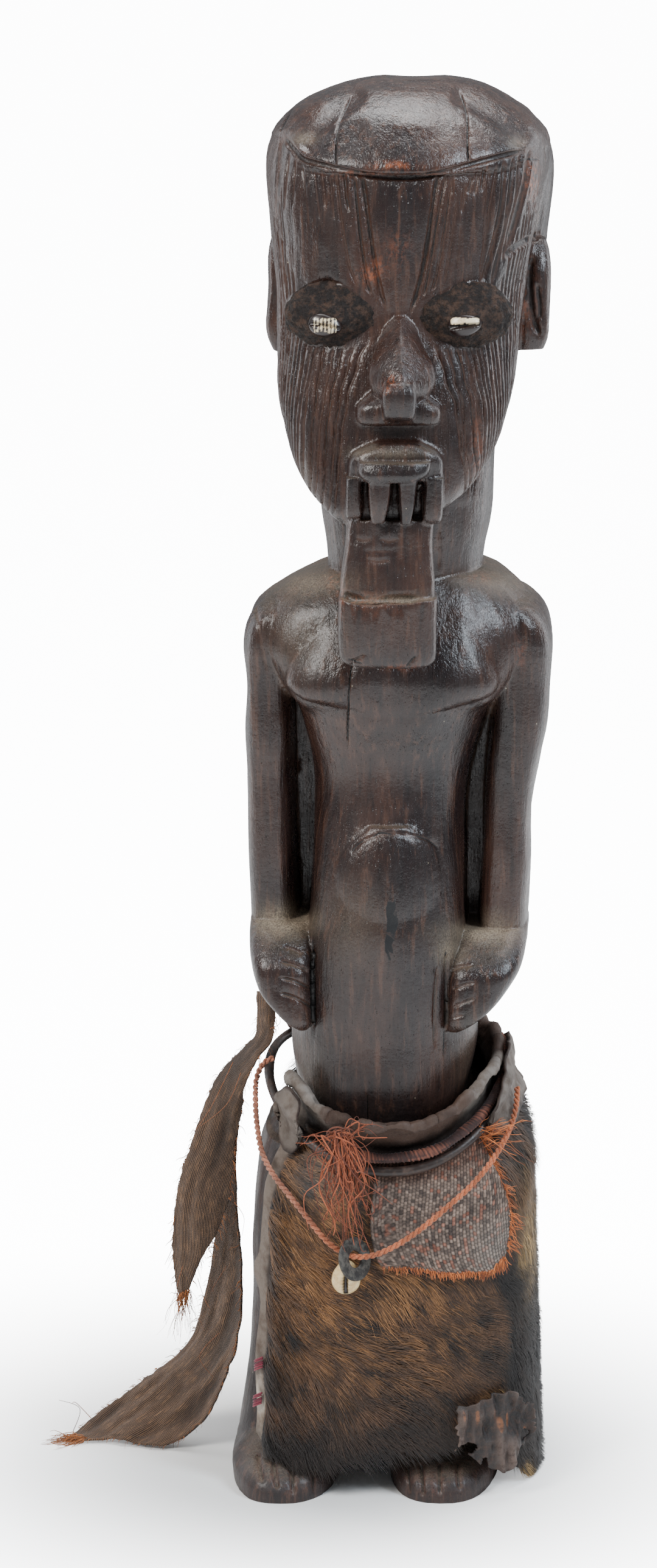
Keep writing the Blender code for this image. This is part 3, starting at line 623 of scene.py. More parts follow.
BODY = [
    ([(464, -31, 47, -27, 44), (459, -46, 58, -31, 44), (450, -61, 68, -36, 43),
      (440, -66, 74, -40, 42), (428, -64, 72, -44, 42), (414, -56, 64, -47, 42),
      (406, -50, 57, -48, 42), (398, -44, 51, -45, 42), (384, -40, 46, -41, 41),
      (370, -37, 42, -38, 40), (354, -35.5, 39, -39, 40), (330, -36, 38, -44, 41),
      (300, -38, 38, -51, 42), (286, -40, 39, -53, 43), (270, -42, 40, -52.5, 44),
      (240, -46.5, 43.5, -50, 46),
      (228, -47, 45, -50, 46), (212, -45, 43, -51, 46), (200, -41, 39, -49, 44),
      (190, -33, 31, -44, 38), (184, -20, 20, -32, 30)], 2.5, 48, True),
    ([(276, -22, 24, -46, 0), (290, -27, 29, -50, 0), (306, -28, 31, -52, 0),
      (322, -27, 30, -51, 0), (336, -22, 27, -47.5, 0), (344, -14, 20, -44.5, 0)], 2.2, 36, True),
    ([(398, -10, 16, -44, 0), (404, -30, 40, -48.5, 0), (411, -47, 53, -51, 0),
      (419, -48, 55, -51, 0), (430, -44, 52, -47, 0), (446, -36, 46, -38, 0)], 3, 36, True),
]
ARMS = [
    ([(284, -67.5, -43, -22, 24), (320, -68.5, -45, -22, 25), (354, -69.1, -46, -22, 27),
      (411, -70, -47, -24, 30), (430, -70, -44, -26, 34), (442, -67.5, -40, -25, 36),
      (450, -60, -34, -20, 34), (455, -50, -30, -12, 30)], 3.2, 32, True),
    ([(284, 45, 69, -22, 24), (322, 47, 70, -22, 25), (352, 47, 71.5, -22, 27),
      (370, 48, 74.4, -23, 28), (390, 50, 78, -24, 29), (411, 50, 79.5, -24, 30),
      (430, 48, 79.5, -26, 34), (442, 44, 76, -25, 36), (450, 38, 68, -20, 34),
      (455, 34, 56, -12, 30)], 3.2, 32, True),
    ([(280, -52, -30, 6, 26), (440, -54, -30, 6, 34)], 6, 16, True),
    ([(280, 30, 52, 6, 26), (440, 30, 60, 6, 34)], 6, 16, True),
    ([(242, -42, -36, -47, -14), (246, -48, -34, -50, 0), (253, -56, -34, -50, 12),
      (262, -63, -34, -49, 20), (274, -66, -34, -47, 25), (284, -67.5, -34, -36, 26),
      (291, -67.5, -34, -24, 26)], 4, 36, True),
    ([(240, 31, 38, -44, -14), (245, 30.5, 47, -47, 0), (253, 30.5, 57, -47, 12),
      (262, 30.5, 63, -46, 20), (270, 31, 67, -44, 25), (279, 32, 69.5, -34, 26),
      (286, 33, 69.5, -24, 26)], 4, 36, True),
]
HIPS = [
    ([(206, -40, 38, -30, 52), (198, -43, 41, -32, 56), (190, -47, 44, -34, 60),
      (182, -56, 50, -36, 63), (173, -63, 56, -36, 64), (162, -64, 58, -34, 62),
      (152, -60, 56, -20, 56)], 2.8, 40, True),
]
LEG_SIDES = ([(178, -61, -8), (166, -64, -9), (145, -66, -12), (118, -67, -17),
              (85, -68, -20), (55, -70, -22), (30, -74, -22), (8, -75, -21)],
             [(178, 4, 54), (166, 5, 57), (145, 4, 57), (118, 3, 54),
              (85, 4, 53), (55, 4, 54), (30, 4, 56), (8, 3, 57)])
LEG_DEPTHS = [(-36, 62), (-40, 58), (-44, 50), (-42, 42), (-33, 40), (-28, 38), (-34, 37), (-50, 37)]
FEET = ((-76, -20), (3, 59))
EYES = ((-26.5, 23.5), (32.5, 23))
EYE_Z = 596.5


def loft(bm, rows, power, sides, turned):
    """A carved mass through rounded outlines."""
    loops = []
    for z, left, right, front, back in smooth_line(rows, 3):
        ring = []
        for i in range(sides):
            c, s = math.cos(2 * math.pi * i / sides), math.sin(2 * math.pi * i / sides)
            x = (left + right) / 2 + (right - left) / 2 * math.copysign(abs(c) ** (2 / power), c)
            y = (front + back) / 2 + (back - front) / 2 * math.copysign(abs(s) ** (2 / power), s)
            ring.append(bm.verts.new(world((x + TURN * y * turned, y, z))))
        loops.append(ring)
    for low, high in zip(loops, loops[1:]):
        for i in range(sides):
            j = (i + 1) % sides
            bm.faces.new((low[i], low[j], high[j], high[i]))
    bm.faces.new(list(reversed(loops[0])))
    bm.faces.new(loops[-1])


def rough_block():
    """All masses of the carving in one mesh, before they are made one."""
    bm = bmesh.new()
    for rows, power, sides, turned in HEAD + FACE + BODY + ARMS + HIPS:
        loft(bm, rows, power, sides, turned)
    for sides in LEG_SIDES:
        loft(bm, [(*row, *depth) for row, depth in zip(sides, LEG_DEPTHS)][::-1], 2.7, 36, True)
    for left, right in FEET:
        loft(bm, [(-6, left + 3, right - 3, -72, 34), (5, left + 1, right - 1, -75, 37),
                  (14, left, right, -72, 38), (21, left + 3, right - 2, -61, 38),
                  (27, left + 8, right - 5, -46, 36)], 2.6, 36, True)
    for x, reach in EYES:
        made = bmesh.ops.create_uvsphere(bm, u_segments=32, v_segments=20, radius=1)
        for v in made["verts"]:
            v.co = Vector(world((x + v.co.x * reach, -58 + v.co.y * 11.5, EYE_Z + 0.5 + v.co.z * 16)))
    bmesh.ops.recalc_face_normals(bm, faces=bm.faces)
    mesh = bpy.data.meshes.new("figure")
    bm.to_mesh(mesh)
    bm.free()
    block = bpy.data.objects.new("figure", mesh)
    bpy.context.collection.objects.link(block)
    return block


def read_points(mesh):
    """Points in steps and outward directions of a mesh."""
    points = np.empty(len(mesh.vertices) * 3)
    normals = np.empty(len(mesh.vertices) * 3)
    mesh.vertices.foreach_get("co", points)
    mesh.vertices.foreach_get("normal", normals)
    return points.reshape(-1, 3) / STEP - PLACE, normals.reshape(-1, 3)


def write_points(mesh, points):
    """Puts points in steps back on a mesh."""
    mesh.vertices.foreach_set("co", world(points).ravel())
    mesh.update()


def finer_where(piece, wanted):
    """Subdivides the faces whose middle is wanted."""
    mesh = piece.data
    middles = np.empty(len(mesh.polygons) * 3)
    mesh.polygons.foreach_get("center", middles)
    chosen = wanted(middles.reshape(-1, 3) / STEP - PLACE)
    only(piece)
    mesh.vertices.foreach_set("select", np.zeros(len(mesh.vertices), bool))
    mesh.edges.foreach_set("select", np.zeros(len(mesh.edges), bool))
    mesh.polygons.foreach_set("select", chosen)
    bpy.context.tool_settings.mesh_select_mode = (False, False, True)
    bpy.ops.object.mode_set(mode="EDIT")
    bpy.ops.mesh.subdivide(number_cuts=1)
    bpy.ops.object.mode_set(mode="OBJECT")


# Cuts of the knife, as lines in the picture: (points, width, depth) in pixels and steps

CUTS = [
    ([(595, 290), (603, 350), (611, 405), (619, 450), (637, 532)], 5.0, 1.1),
    ([(582, 290), (588, 355), (596, 420), (606, 475), (624, 522)], 4.2, 0.9),
    ([(565, 285), (569, 325), (573, 345)], 4.0, 0.8),
    ([(552, 284), (559, 350), (567, 405), (576, 445), (593, 480)], 3.4, 0.6),
    ([(542, 290), (546, 335), (549, 362)], 2.8, 0.4),
    ([(528, 280), (532, 318), (534, 342)], 3.0, 0.5),
    ([(516, 277), (521, 325), (526, 362)], 2.4, 0.35),
    ([(497, 272), (502, 320), (508, 372)], 2.0, 0.3),
    ([(719, 290), (711, 345), (702, 405), (690, 465), (678, 508), (669, 524)], 5.0, 1.1),
    ([(732, 290), (724, 335), (715, 385), (708, 430), (698, 480), (687, 512)], 3.8, 0.8),
    ([(742, 298), (735, 350), (727, 405), (716, 462), (706, 490)], 3.4, 0.7),
    ([(750, 330), (741, 400), (730, 466)], 2.6, 0.5),
    ([(765, 305), (759, 350)], 3.0, 0.5), ([(757, 370), (750, 440)], 2.0, 0.35),
    ([(775, 292), (771, 318)], 3.4, 0.6), ([(785, 285), (780, 320)], 3.4, 0.6),
    ([(796, 278), (792, 312)], 3.6, 0.7), ([(806, 273), (800, 330), (794, 400)], 2.4, 0.35),
    ([(818, 270), (806, 340), (797, 400), (788, 462)], 3.4, 0.6),
    ([(830, 264), (825, 330), (815, 385), (800, 440), (788, 472)], 4.4, 0.8),
    ([(845, 259), (838, 325), (830, 380), (817, 430), (808, 470)], 4.4, 0.8),
    ([(855, 254), (850, 320), (838, 372), (826, 430)], 4.0, 0.7),
    ([(872, 244), (865, 292), (852, 345), (834, 408)], 5.5, 0.9),
    ([(834, 421), (845, 409), (862, 398), (884, 388)], 6.0, 1.4),
    ([(876, 424), (871, 450), (872, 490), (879, 530), (888, 552)], 6.0, 1.6),
    ([(884, 470), (888, 500), (888, 525)], 5.0, 1.2), ([(423, 440), (427, 480), (425, 520)], 4.0, 1.0),
    ([(465, 224), (458, 275), (453, 360)], 4.0, 0.8), ([(476, 250), (470, 300), (466, 350)], 2.4, 0.4),
    ([(486, 262), (482, 310), (480, 340)], 2.2, 0.35),
    ([(464, 221), (480, 243), (500, 262), (552, 276), (600, 287), (666, 292), (720, 285), (780, 268),
      (840, 252), (880, 243)], 5.5, 1.1),
    ([(474, 512), (482, 492), (500, 474), (520, 465), (545, 464), (579, 479), (609, 509), (632, 536)], 3.6,
     0.8),
    ([(693, 510), (704, 492), (719, 481), (751, 473), (776, 475)], 3.6, 0.8),
    ([(579, 1401), (590, 1386), (612, 1375), (640, 1370), (670, 1372), (700, 1378), (724, 1392)], 4.0, 0.35),
    ([(515, 1560), (514, 1600), (516, 1690)], 4.0, 1.2),
    ([(720, 1590), (716, 1640), (714, 1720)], 2.6, 0.9), ([(735, 1570), (733, 1690)], 3.6, 1.0),
    ([(468, 1555), (480, 1558), (496, 1566)], 3.4, 0.8), ([(463, 1579), (484, 1584), (508, 1596)], 3.6, 0.9),
    ([(463, 1607), (486, 1613), (515, 1627)], 3.6, 0.9), ([(462, 1632), (488, 1640), (518, 1658)], 3.6, 0.9),
    ([(744, 1592), (758, 1587), (776, 1585)], 3.4, 0.7), ([(743, 1624), (758, 1620), (778, 1614)], 3.4, 0.7),
    ([(746, 1653), (760, 1648), (779, 1640)], 3.4, 0.7), ([(745, 1672), (762, 1668)], 2.8, 0.5),
    ([(425, 2388), (427, 2412), (431, 2434)], 4.0, 1.0), ([(449, 2394), (452, 2420), (456, 2446)], 4.5, 1.2),
    ([(478, 2398), (481, 2428), (484, 2456)], 4.5, 1.2), ([(515, 2396), (516, 2425), (517, 2452)], 4.0, 1.0),
    ([(670, 2402), (671, 2430), (673, 2455)], 3.5, 0.8), ([(692, 2404), (693, 2432), (695, 2458)], 4.5, 1.2),
    ([(722, 2404), (722, 2432), (723, 2456)], 4.5, 1.2), ([(752, 2400), (754, 2428), (757, 2448)], 4.0, 1.0),
    ([(585, 884), (598, 889), (610, 885)], 3.4, 0.5), ([(626, 886), (640, 890), (655, 886)], 3.4, 0.5),
    ([(604, 920), (622, 924), (641, 920)], 3.4, 0.5), ([(600, 906), (650, 908)], 2.0, 0.4),
    ([(563, 974), (580, 984), (610, 990), (640, 986), (686, 984)], 7.0, 1.5),
    ([(576, 1086), (588, 1082), (600, 1074)], 2.4, 0.8), ([(672, 1094), (680, 1082)], 2.2, 0.7),
    ([(722, 870), (724, 905), (722, 935)], 2.2, 0.7), ([(420, 990), (430, 1060), (438, 1100)], 3.0, 0.5),
]
CRACKS = [
    ([(578, 158), (562, 190), (555, 207), (552, 240), (551, 272)], 2.0, 1.3),
    ([(755, 150), (765, 175), (769, 200), (769, 235), (771, 268)], 2.3, 1.5),
    ([(579, 1088), (575, 1120), (573, 1157), (571, 1190), (571, 1225)], 2.2, 1.5),
    ([(604, 1798), (605, 1842)], 1.8, 0.8), ([(513, 1540), (514, 1600), (517, 1700)], 1.8, 0.8),
    ([(733, 1560), (732, 1640), (729, 1740)], 1.8, 0.8), ([(578, 1400), (586, 1388), (598, 1380)], 2.0, 0.8),
    ([(612, 1376), (626, 1368), (648, 1372)], 2.0, 0.7), ([(684, 1373), (704, 1380), (722, 1394)], 2.0, 0.8),
    ([(461, 215), (474, 190), (486, 170)], 1.8, 0.6), ([(886, 262), (862, 262), (846, 268)], 1.8, 0.7),
    ([(668, 1096), (676, 1085), (684, 1078)], 2.0, 0.9), ([(571, 1083), (596, 1091)], 1.8, 0.6)]
# The cheeks' rows of cuts: side, inner and outer line as (height, distance), breadth, seed,
# how much higher the outer cuts begin, and the seed of their ends.
CHEEKS = [
    (-1, [(500, 26), (511, 25), (526, 23.6), (543, 22), (560, 19.4), (576, 14.8), (594, 5.4), (610, 2)],
     [(500, 66), (511, 69), (526, 70), (543, 71), (560, 71), (576, 73), (594, 76), (650, 84)], 50, 3, 30, 8),
    (1, [(500, 33), (511, 32.8), (523, 32.8), (538, 30), (555, 28), (569, 23), (584, 18.5), (600, 15),
         (612, 14)],
     [(500, 78), (511, 80), (523, 81), (538, 82), (555, 84), (569, 86), (584, 89), (600, 92), (660, 98)],
     56, 5, 34, 9)]
# Worn and dusty places in the picture: (x, y, half width, half height, strength). The dusty places on the
# shoulders and the belly paint sheen as well as dust.
WORN = [(607, 452, 17, 11, 0.9), (622, 438, 14, 16, 0.5), (655, 412, 18, 26, 0.35), (648, 624, 11, 8, 0.8),
        (634, 640, 8, 10, 0.5), (876, 300, 11, 34, 0.8), (645, 272, 34, 6, 0.8), (660, 1096, 30, 4, 0.4),
        (590, 287, 60, 4, 0.45), (785, 735, 9, 44, 0.5), (559, 970, 6, 26, 0.5), (600, 983, 40, 5, 0.5),
        (545, 955, 8, 14, 0.6), (792, 950, 22, 7, 0.6), (857, 1075, 8, 24, 0.4), (862, 520, 5, 40, 0.4)]
DUST_AND_SHEEN = [(470, 1512, 46, 22, 1.0), (790, 1532, 60, 16, 0.8), (740, 1560, 22, 24, 0.7),
        (500, 1040, 50, 60, 0.22), (820, 960, 60, 20, 0.35), (520, 960, 60, 20, 0.40),
        (640, 745, 50, 9, 0.35), (575, 1520, 50, 60, 0.16),
        (650, 982, 50, 5, 0.5), (500, 1780, 30, 60, 0.22), (780, 1740, 30, 60, 0.20),
        (500, 228, 18, 9, 0.5), (850, 235, 14, 10, 0.3), (600, 745, 30, 8, 0.3), (500, 820, 10, 60, 0.2)]
WET = [(641, 1494, 6, 16, 1.0), (646, 1515, 7, 16, 1.2), (641, 1540, 6, 20, 1.1), (639, 1562, 5, 16, 0.8)]


def spots(px, py, places):
    """Soft spots in the picture added up."""
    total = np.zeros(len(px))
    for x, y, wide, high, strength in places:
        total = np.maximum(total, strength * np.exp(-((px - x) / wide) ** 2 - ((py - y) / high) ** 2))
    return total


def line_depth(px, py, line, width):
    """How near points of the picture lie to a line: 1 on it, 0 past its width, less at its ends."""
    line = smooth_line(line, 5) if len(line) > 2 else np.asarray(line, float)
    near = np.zeros(len(px))
    inside = np.where((px > line[:, 0].min() - width) & (px < line[:, 0].max() + width)
                      & (py > line[:, 1].min() - width) & (py < line[:, 1].max() + width))[0]
    if len(inside) == 0:
        return near
    p = np.stack((px[inside], py[inside]), axis=1)
    best = np.full(len(inside), 1e9)
    place = np.zeros(len(inside))
    lengths = np.linalg.norm(np.diff(line, axis=0), axis=1)
    total, done = lengths.sum(), 0.0
    for a, b, length in zip(line, line[1:], lengths):
        t = np.clip(((p - a) @ (b - a)) / max(length * length, 1e-9), 0, 1)
        d = np.linalg.norm(p - a - t[:, None] * (b - a), axis=1)
        closer = d < best
        best[closer] = d[closer]
        place[closer] = (done + t[closer] * length) / total
        done += length
    ends = soft(place / 0.12 + 0.35) * soft((1 - place) / 0.18 + 0.25)
    near[inside] = np.clip(1 - best / width, 0, 1) * ends
    return near


def parallel_cuts(across, inner, outer, z, count, seed):
    """Rows of long cuts between an inner and an outer line, each of its own depth and a little uneven."""
    low, high = along(inner, z), along(outer, z)
    share = (across - low) / (high - low) * count
    share = share + 0.10 * np.sin(z / 29.0 + 2.1 * np.floor(share)) + 0.03 * np.sin(z / 9.0)
    number = np.floor(share)
    off = np.abs(share - number - 0.5) * 2
    strength = mix(0.55, 1.0, chance(number + 50, seed))
    return (1 - soft((off - 0.04) / 0.50)) * strength * (share > -0.2) * (share < count + 0.6), number


def knife_work(points, normals, cheek_pitch):
    """Depths of all cuts and how deep each point then lies."""
    px, py = picture(points)
    eye = camera_axes()[0]
    facing = np.einsum("ij,ij->i", normals, unit(eye - points))
    ahead = soft((facing - 0.02) / 0.25)
    depth = np.zeros(len(points))
    for line, width, deep in CUTS:
        near = line_depth(px, py, line, width * 1.15)
        shape = 1 - (1 - near) ** 1.7
        depth = np.maximum(depth, shape * deep * 1.5 * ahead)
    crack = np.zeros(len(points))
    for line, width, deep in CRACKS:
        near = line_depth(px, py, line, width) * ahead
        crack = np.maximum(crack, near)
        depth = np.maximum(depth, near ** 0.7 * deep)
    x, y, z = points.T
    face = (z > 500) & (z < 668) & (y < 14)
    around = 0.9 * np.clip(y + 64, 0, None)
    for side, inner, outer, breadth, seed, rise, uneven in CHEEKS:
        here = face & (side * (x - 5) > 0)
        cut, number = parallel_cuts(side * x + around, inner, outer, z, round(breadth * STEP / cheek_pitch),
                                    seed)
        top = 606 + rise * soft((number - 9) / 4) + 8 * chance(number, uneven)
        depth = np.maximum(depth, 1.35 * cut * here * soft((top - z) / 8) * soft((z - 503) / 8))
    # Finer cuts run up the temples to the ears.
    for side, count, shift in ((-1, 13, 60), (1, 16, 78)):
        fine, number = parallel_cuts(side * x + around, [(500, shift), (660, shift + 8)],
                                     [(500, shift + 26), (660, shift + 38)], z, count, 11 + side)
        here = face & (side * (x - 5) > 0) & (y > -54) & (y < -6)
        depth = np.maximum(depth, 0.6 * fine * here * soft((648 + 10 * chance(number, 2) - z) / 8)
                           * soft((z - 530) / 12))
    eyes = np.ones(len(points))
    for x_eye, reach in EYES:
        near = ((x - x_eye) / (reach + 1)) ** 2 + ((z - EYE_Z) / 15.5) ** 2
        eyes = np.minimum(eyes, np.where((y < -30) & (z < 618), soft((near - 0.85) / 0.3), 1))
    nose = soft((np.abs(x - 3)
                 - along([(545, 20), (556, 19), (566, 14.5), (580, 11), (596, 5), (606, 3)], z)) / 2)
    guard = np.where((y < -66) & (z < 612) & (z > 545), nose, 1)
    mouth = np.where((y < -64) & (z < 545), soft((np.abs(x - 1.5) - 23) / 2), 1)
    deep_lines = depth.copy()
    depth = np.where(z > 498, depth * np.minimum(np.minimum(eyes, guard), mouth), depth)
    depth = np.where((z > 600) & (y < -50), np.maximum(depth, deep_lines * (z > 612)), depth)
    return depth, crack, px, py, facing


def broad_forms(points, normals):
    """Moves that are wider than a knife cut: hair lobes, the hair's raised edge, chest hollows and corners,
    the belly edge and uneven grain.
    """
    px, py = picture(points)
    x, y, z = points.T
    out = np.zeros(len(points))
    ahead = soft((normals @ np.array((0, -0.95, 0.3)) + 0.2) / 0.5)
    on_cap = (z > 655)
    for line, width, deep in (([(500, 250), (520, 222), (560, 180), (600, 150)], 26, 2.4),
                              ([(866, 238), (830, 205), (790, 176), (740, 148)], 26, 2.2),
                              ([(520, 235), (580, 240), (590, 200)], 24, 0.6)):
        out -= deep * soft(line_depth(px, py, line, width)) * on_cap
    out += 1.3 * on_cap * np.exp(-((px - 668) / 90) ** 2 - ((py - 215) / 60) ** 2) * ahead
    # The hair stands proud of the forehead above its lower line, and round the sides and back.
    line = np.interp(px, (464, 480, 500, 552, 600, 666, 720, 780, 840, 880),
                     (221, 243, 262, 276, 287, 292, 285, 268, 252, 243))
    proud = soft((line - py + 3) / 6) * (z > 640) * (y < 10)
    out += 0.9 * proud * ahead
    # Chest hollows, belly edge and the hollow of the upper beard.
    out -= 1.2 * np.exp(-((x + 3) / 15) ** 2 - ((z - 487) / 15) ** 2) * (y < -60)
    middle = soft((30 - np.abs(x - 4)) / 16) * soft((-y - 20) / 15)
    out += middle * (2.2 * np.exp(-((z - 395) / 10) ** 2) - 1.1 * np.exp(-((z - 412) / 9) ** 2))
    corner = np.exp(-((np.abs(x - 3) - 45) / 7) ** 2 - ((z - 405) / 6) ** 2) * soft((-y - 20) / 15)
    out += 1.8 * corner
    out += 0.5 * grain(points * np.array((1, 1, 0.35)), 9.0, 1) * (z < 500)
    out += 0.35 * grain(points * np.array((1, 1, 0.5)), 6.0, 2) * (z >= 500) * (z < 690)
    out += 0.9 * grain(points, 22.0, 3)
    return out


def smoothed(values, edges, rounds):
    """Values evened out over a mesh."""
    count = np.bincount(edges.ravel(), minlength=len(values)).astype(float)
    for _ in range(rounds):
        total = (np.bincount(edges[:, 0], values[edges[:, 1]], len(values))
                 + np.bincount(edges[:, 1], values[edges[:, 0]], len(values)))
        values = 0.5 * values + 0.5 * total / np.maximum(count, 1)
    return values


def hollowness(points, normals, edges):
    """How hollow each place is: over 0 in creases, under 0 on edges."""
    count = np.bincount(edges.ravel(), minlength=len(points)).astype(float)
    mean = np.stack([np.bincount(edges[:, 0], points[edges[:, 1], k], len(points))
                     + np.bincount(edges[:, 1], points[edges[:, 0], k], len(points)) for k in range(3)],
                    axis=1)
    return np.einsum("ij,ij->i", mean / np.maximum(count, 1)[:, None] - points, normals)


def on_face(p):
    """The front of the head, where the cuts are close."""
    return (p[:, 2] > 498) & (p[:, 2] < 676) & (p[:, 1] < -14)


def on_hands(p):
    """The fronts of both hands."""
    return (p[:, 2] > 236) & (p[:, 2] < 290) & (p[:, 1] < -20) & (np.abs(p[:, 0] - 2) > 28)


def near_cracks(p):
    """The thin lines and cracks, which need the smallest facets."""
    px, py = picture(p)
    near = np.zeros(len(p), bool)
    for line, *_ in CRACKS:
        near |= line_depth(px, py, line, 7) > 0
    return near & (p[:, 1] < 0)


class FIGURE_OT_carve(bpy.types.Operator):
    """Carves the wooden figure"""
    bl_idname = "figure.carve"
    bl_label = "Carve the wood"

    def execute(self, context):
        sizes = context.scene.figure_sizes
        piece = rough_block()
        only(piece)
        piece.data.remesh_voxel_size = sizes.detail
        bpy.ops.object.voxel_remesh()
        apply_modifier(piece, "SMOOTH", factor=0.5, iterations=2)
        points, normals = read_points(piece.data)
        write_points(piece.data, points + normals * broad_forms(points, normals)[:, None])
        for wanted in (on_face, on_hands, near_cracks):
            finer_where(piece, wanted)
        points, normals = read_points(piece.data)
        depth, crack, px, py, facing = knife_work(points, normals, sizes.cheek_pitch)
        points = points - normals * depth[:, None]
        points[:, 2] = np.maximum(points[:, 2], FLOOR)
        write_points(piece.data, points)
        points, normals = read_points(piece.data)
        edges = np.empty(len(piece.data.edges) * 2, np.int64)
        piece.data.edges.foreach_get("vertices", edges)
        edges = edges.reshape(-1, 2)
        hollow = smoothed(hollowness(points, normals, edges), edges, 2)
        # Cut depth plus crease hollowness: the wood paints shade in both.
        put_values(piece.data, "cut",
                   np.clip(smoothed(depth, edges, 1) * 0.75 + soft(hollow / 0.25) * 0.35, 0, 1))
        # Nearness to the cracks, which the wood paints near black as the shade inside them.
        put_values(piece.data, "crack", crack)
        front = soft((facing + 0.1) / 0.4)
        worn = spots(px, py, WORN) * front + 0.16 * soft(-hollow / 0.22)
        put_values(piece.data, "worn", np.clip(worn, 0, 1))
        upward = soft((normals[:, 2] - 0.6) / 0.4) * (points[:, 2] < 540)
        # Dust spots, which on the shoulders and belly are painted sheen, then dust on upward faces and in
        # hollows.
        dust = spots(px, py, DUST_AND_SHEEN) * front + 0.30 * upward + 0.12 * soft(hollow / 0.3) * (points[:, 2] < 480)
        put_values(piece.data, "dust", np.clip(dust, 0, 1))
        put_values(piece.data, "wet", np.clip(spots(px, py, WET) * front * (points[:, 1] < -30), 0, 1))
        put_values(piece.data, "dry", soft((240 - points[:, 2]) / 60) * 0.8 + 0.2 * (points[:, 1] > 10))
        apply_modifier(piece, "DECIMATE", ratio=min(1.0, sizes.wood_faces / triangles(piece)))
        piece.data.shade_smooth()
        piece.data.materials.clear()
        piece.data.materials.append(wood_finish(context.scene.figure_colours))
        take_on(piece, "carved_wood", ["figure"])
        return {"FINISHED"}


# Eyes and shells

def cowrie_piece(name, length, width, depth, material, slit_gap=0.13):
    """A cowrie's mouth side at the origin, long in Z and facing -Y, made from a ball."""
    bpy.ops.object.select_all(action="DESELECT")
    bpy.ops.mesh.primitive_uv_sphere_add(segments=64, ring_count=44, radius=1)
    piece = bpy.context.active_object
    piece.name = name
    co = np.empty(len(piece.data.vertices) * 3)
    piece.data.vertices.foreach_get("co", co)
    x, y, z = co.reshape(-1, 3).T
    bend = 0.10 * (z ** 2 - 0.4)
    off = x - bend
    mouth = np.exp(-(off / slit_gap) ** 4) * (np.abs(z) < 0.93) * (y < 0)
    along_lip = np.exp(-((np.abs(off) - 0.2) / 0.16) ** 2) * (y < 0)
    teeth = np.cos(z * 3.1416 * 11) * along_lip * soft((0.9 - np.abs(z)) / 0.2)
    rolled = 0.10 * np.exp(-((np.abs(off) - 0.30) / 0.2) ** 2) * (y < 0)
    radius = 1 + 0.05 * teeth + rolled - 0.62 * mouth
    lump = 1 + 0.03 * grain(np.stack((x, y, z), axis=1), 0.5, 4)
    shape = np.stack((x * width / 2 * (1 - 0.14 * z) * lump, y * depth / 2 * radius, z * length / 2 * lump),
                     axis=1)
    piece.data.vertices.foreach_set("co", shape.ravel())
    piece.data.update()
    if name != "eye":
        # The mouth and the gaps between the teeth are kept to be painted dark: painted shade.
        put_values(piece.data, "slit", np.clip(mouth * 1.4 + 0.5 * np.clip(-teeth, 0, 1), 0, 1))
    piece.data.shade_smooth()
    piece.data.materials.append(material)
    return piece


def turn_and_place(piece, angles, place):
    """Turns and moves a piece, then applies both to its mesh."""
    only(piece)
    piece.rotation_euler = angles
    piece.location = world(place)
    bpy.ops.object.transform_apply(location=True, rotation=True, scale=True)


def shell_finish(name, ivory, stain):
    """Ivory shell with stains, painted shade in its mouth and between its teeth, and dark outside the eyes'
    bare bands.
    """
    f = Finish(name)
    blotch = f.noise(f.place(), 260, 4, 0.6)
    colour = f.blend(f.span(blotch, 0.35, 0.7), ivory, stain)
    colour = f.blend(f.span(f.noise(f.place(), 900, 3), 0.55, 0.75), colour, linear(176, 150, 112))
    # Dark where the slit value is kept: painted shade in mouths and between teeth, and the dark outside the
    # eyes' bare bands.
    colour = f.blend(f.stored("slit"), colour, linear(30, 17, 15))
    return f.done(colour, 0.34, Coat_Weight=0.3, Coat_Roughness=0.2)


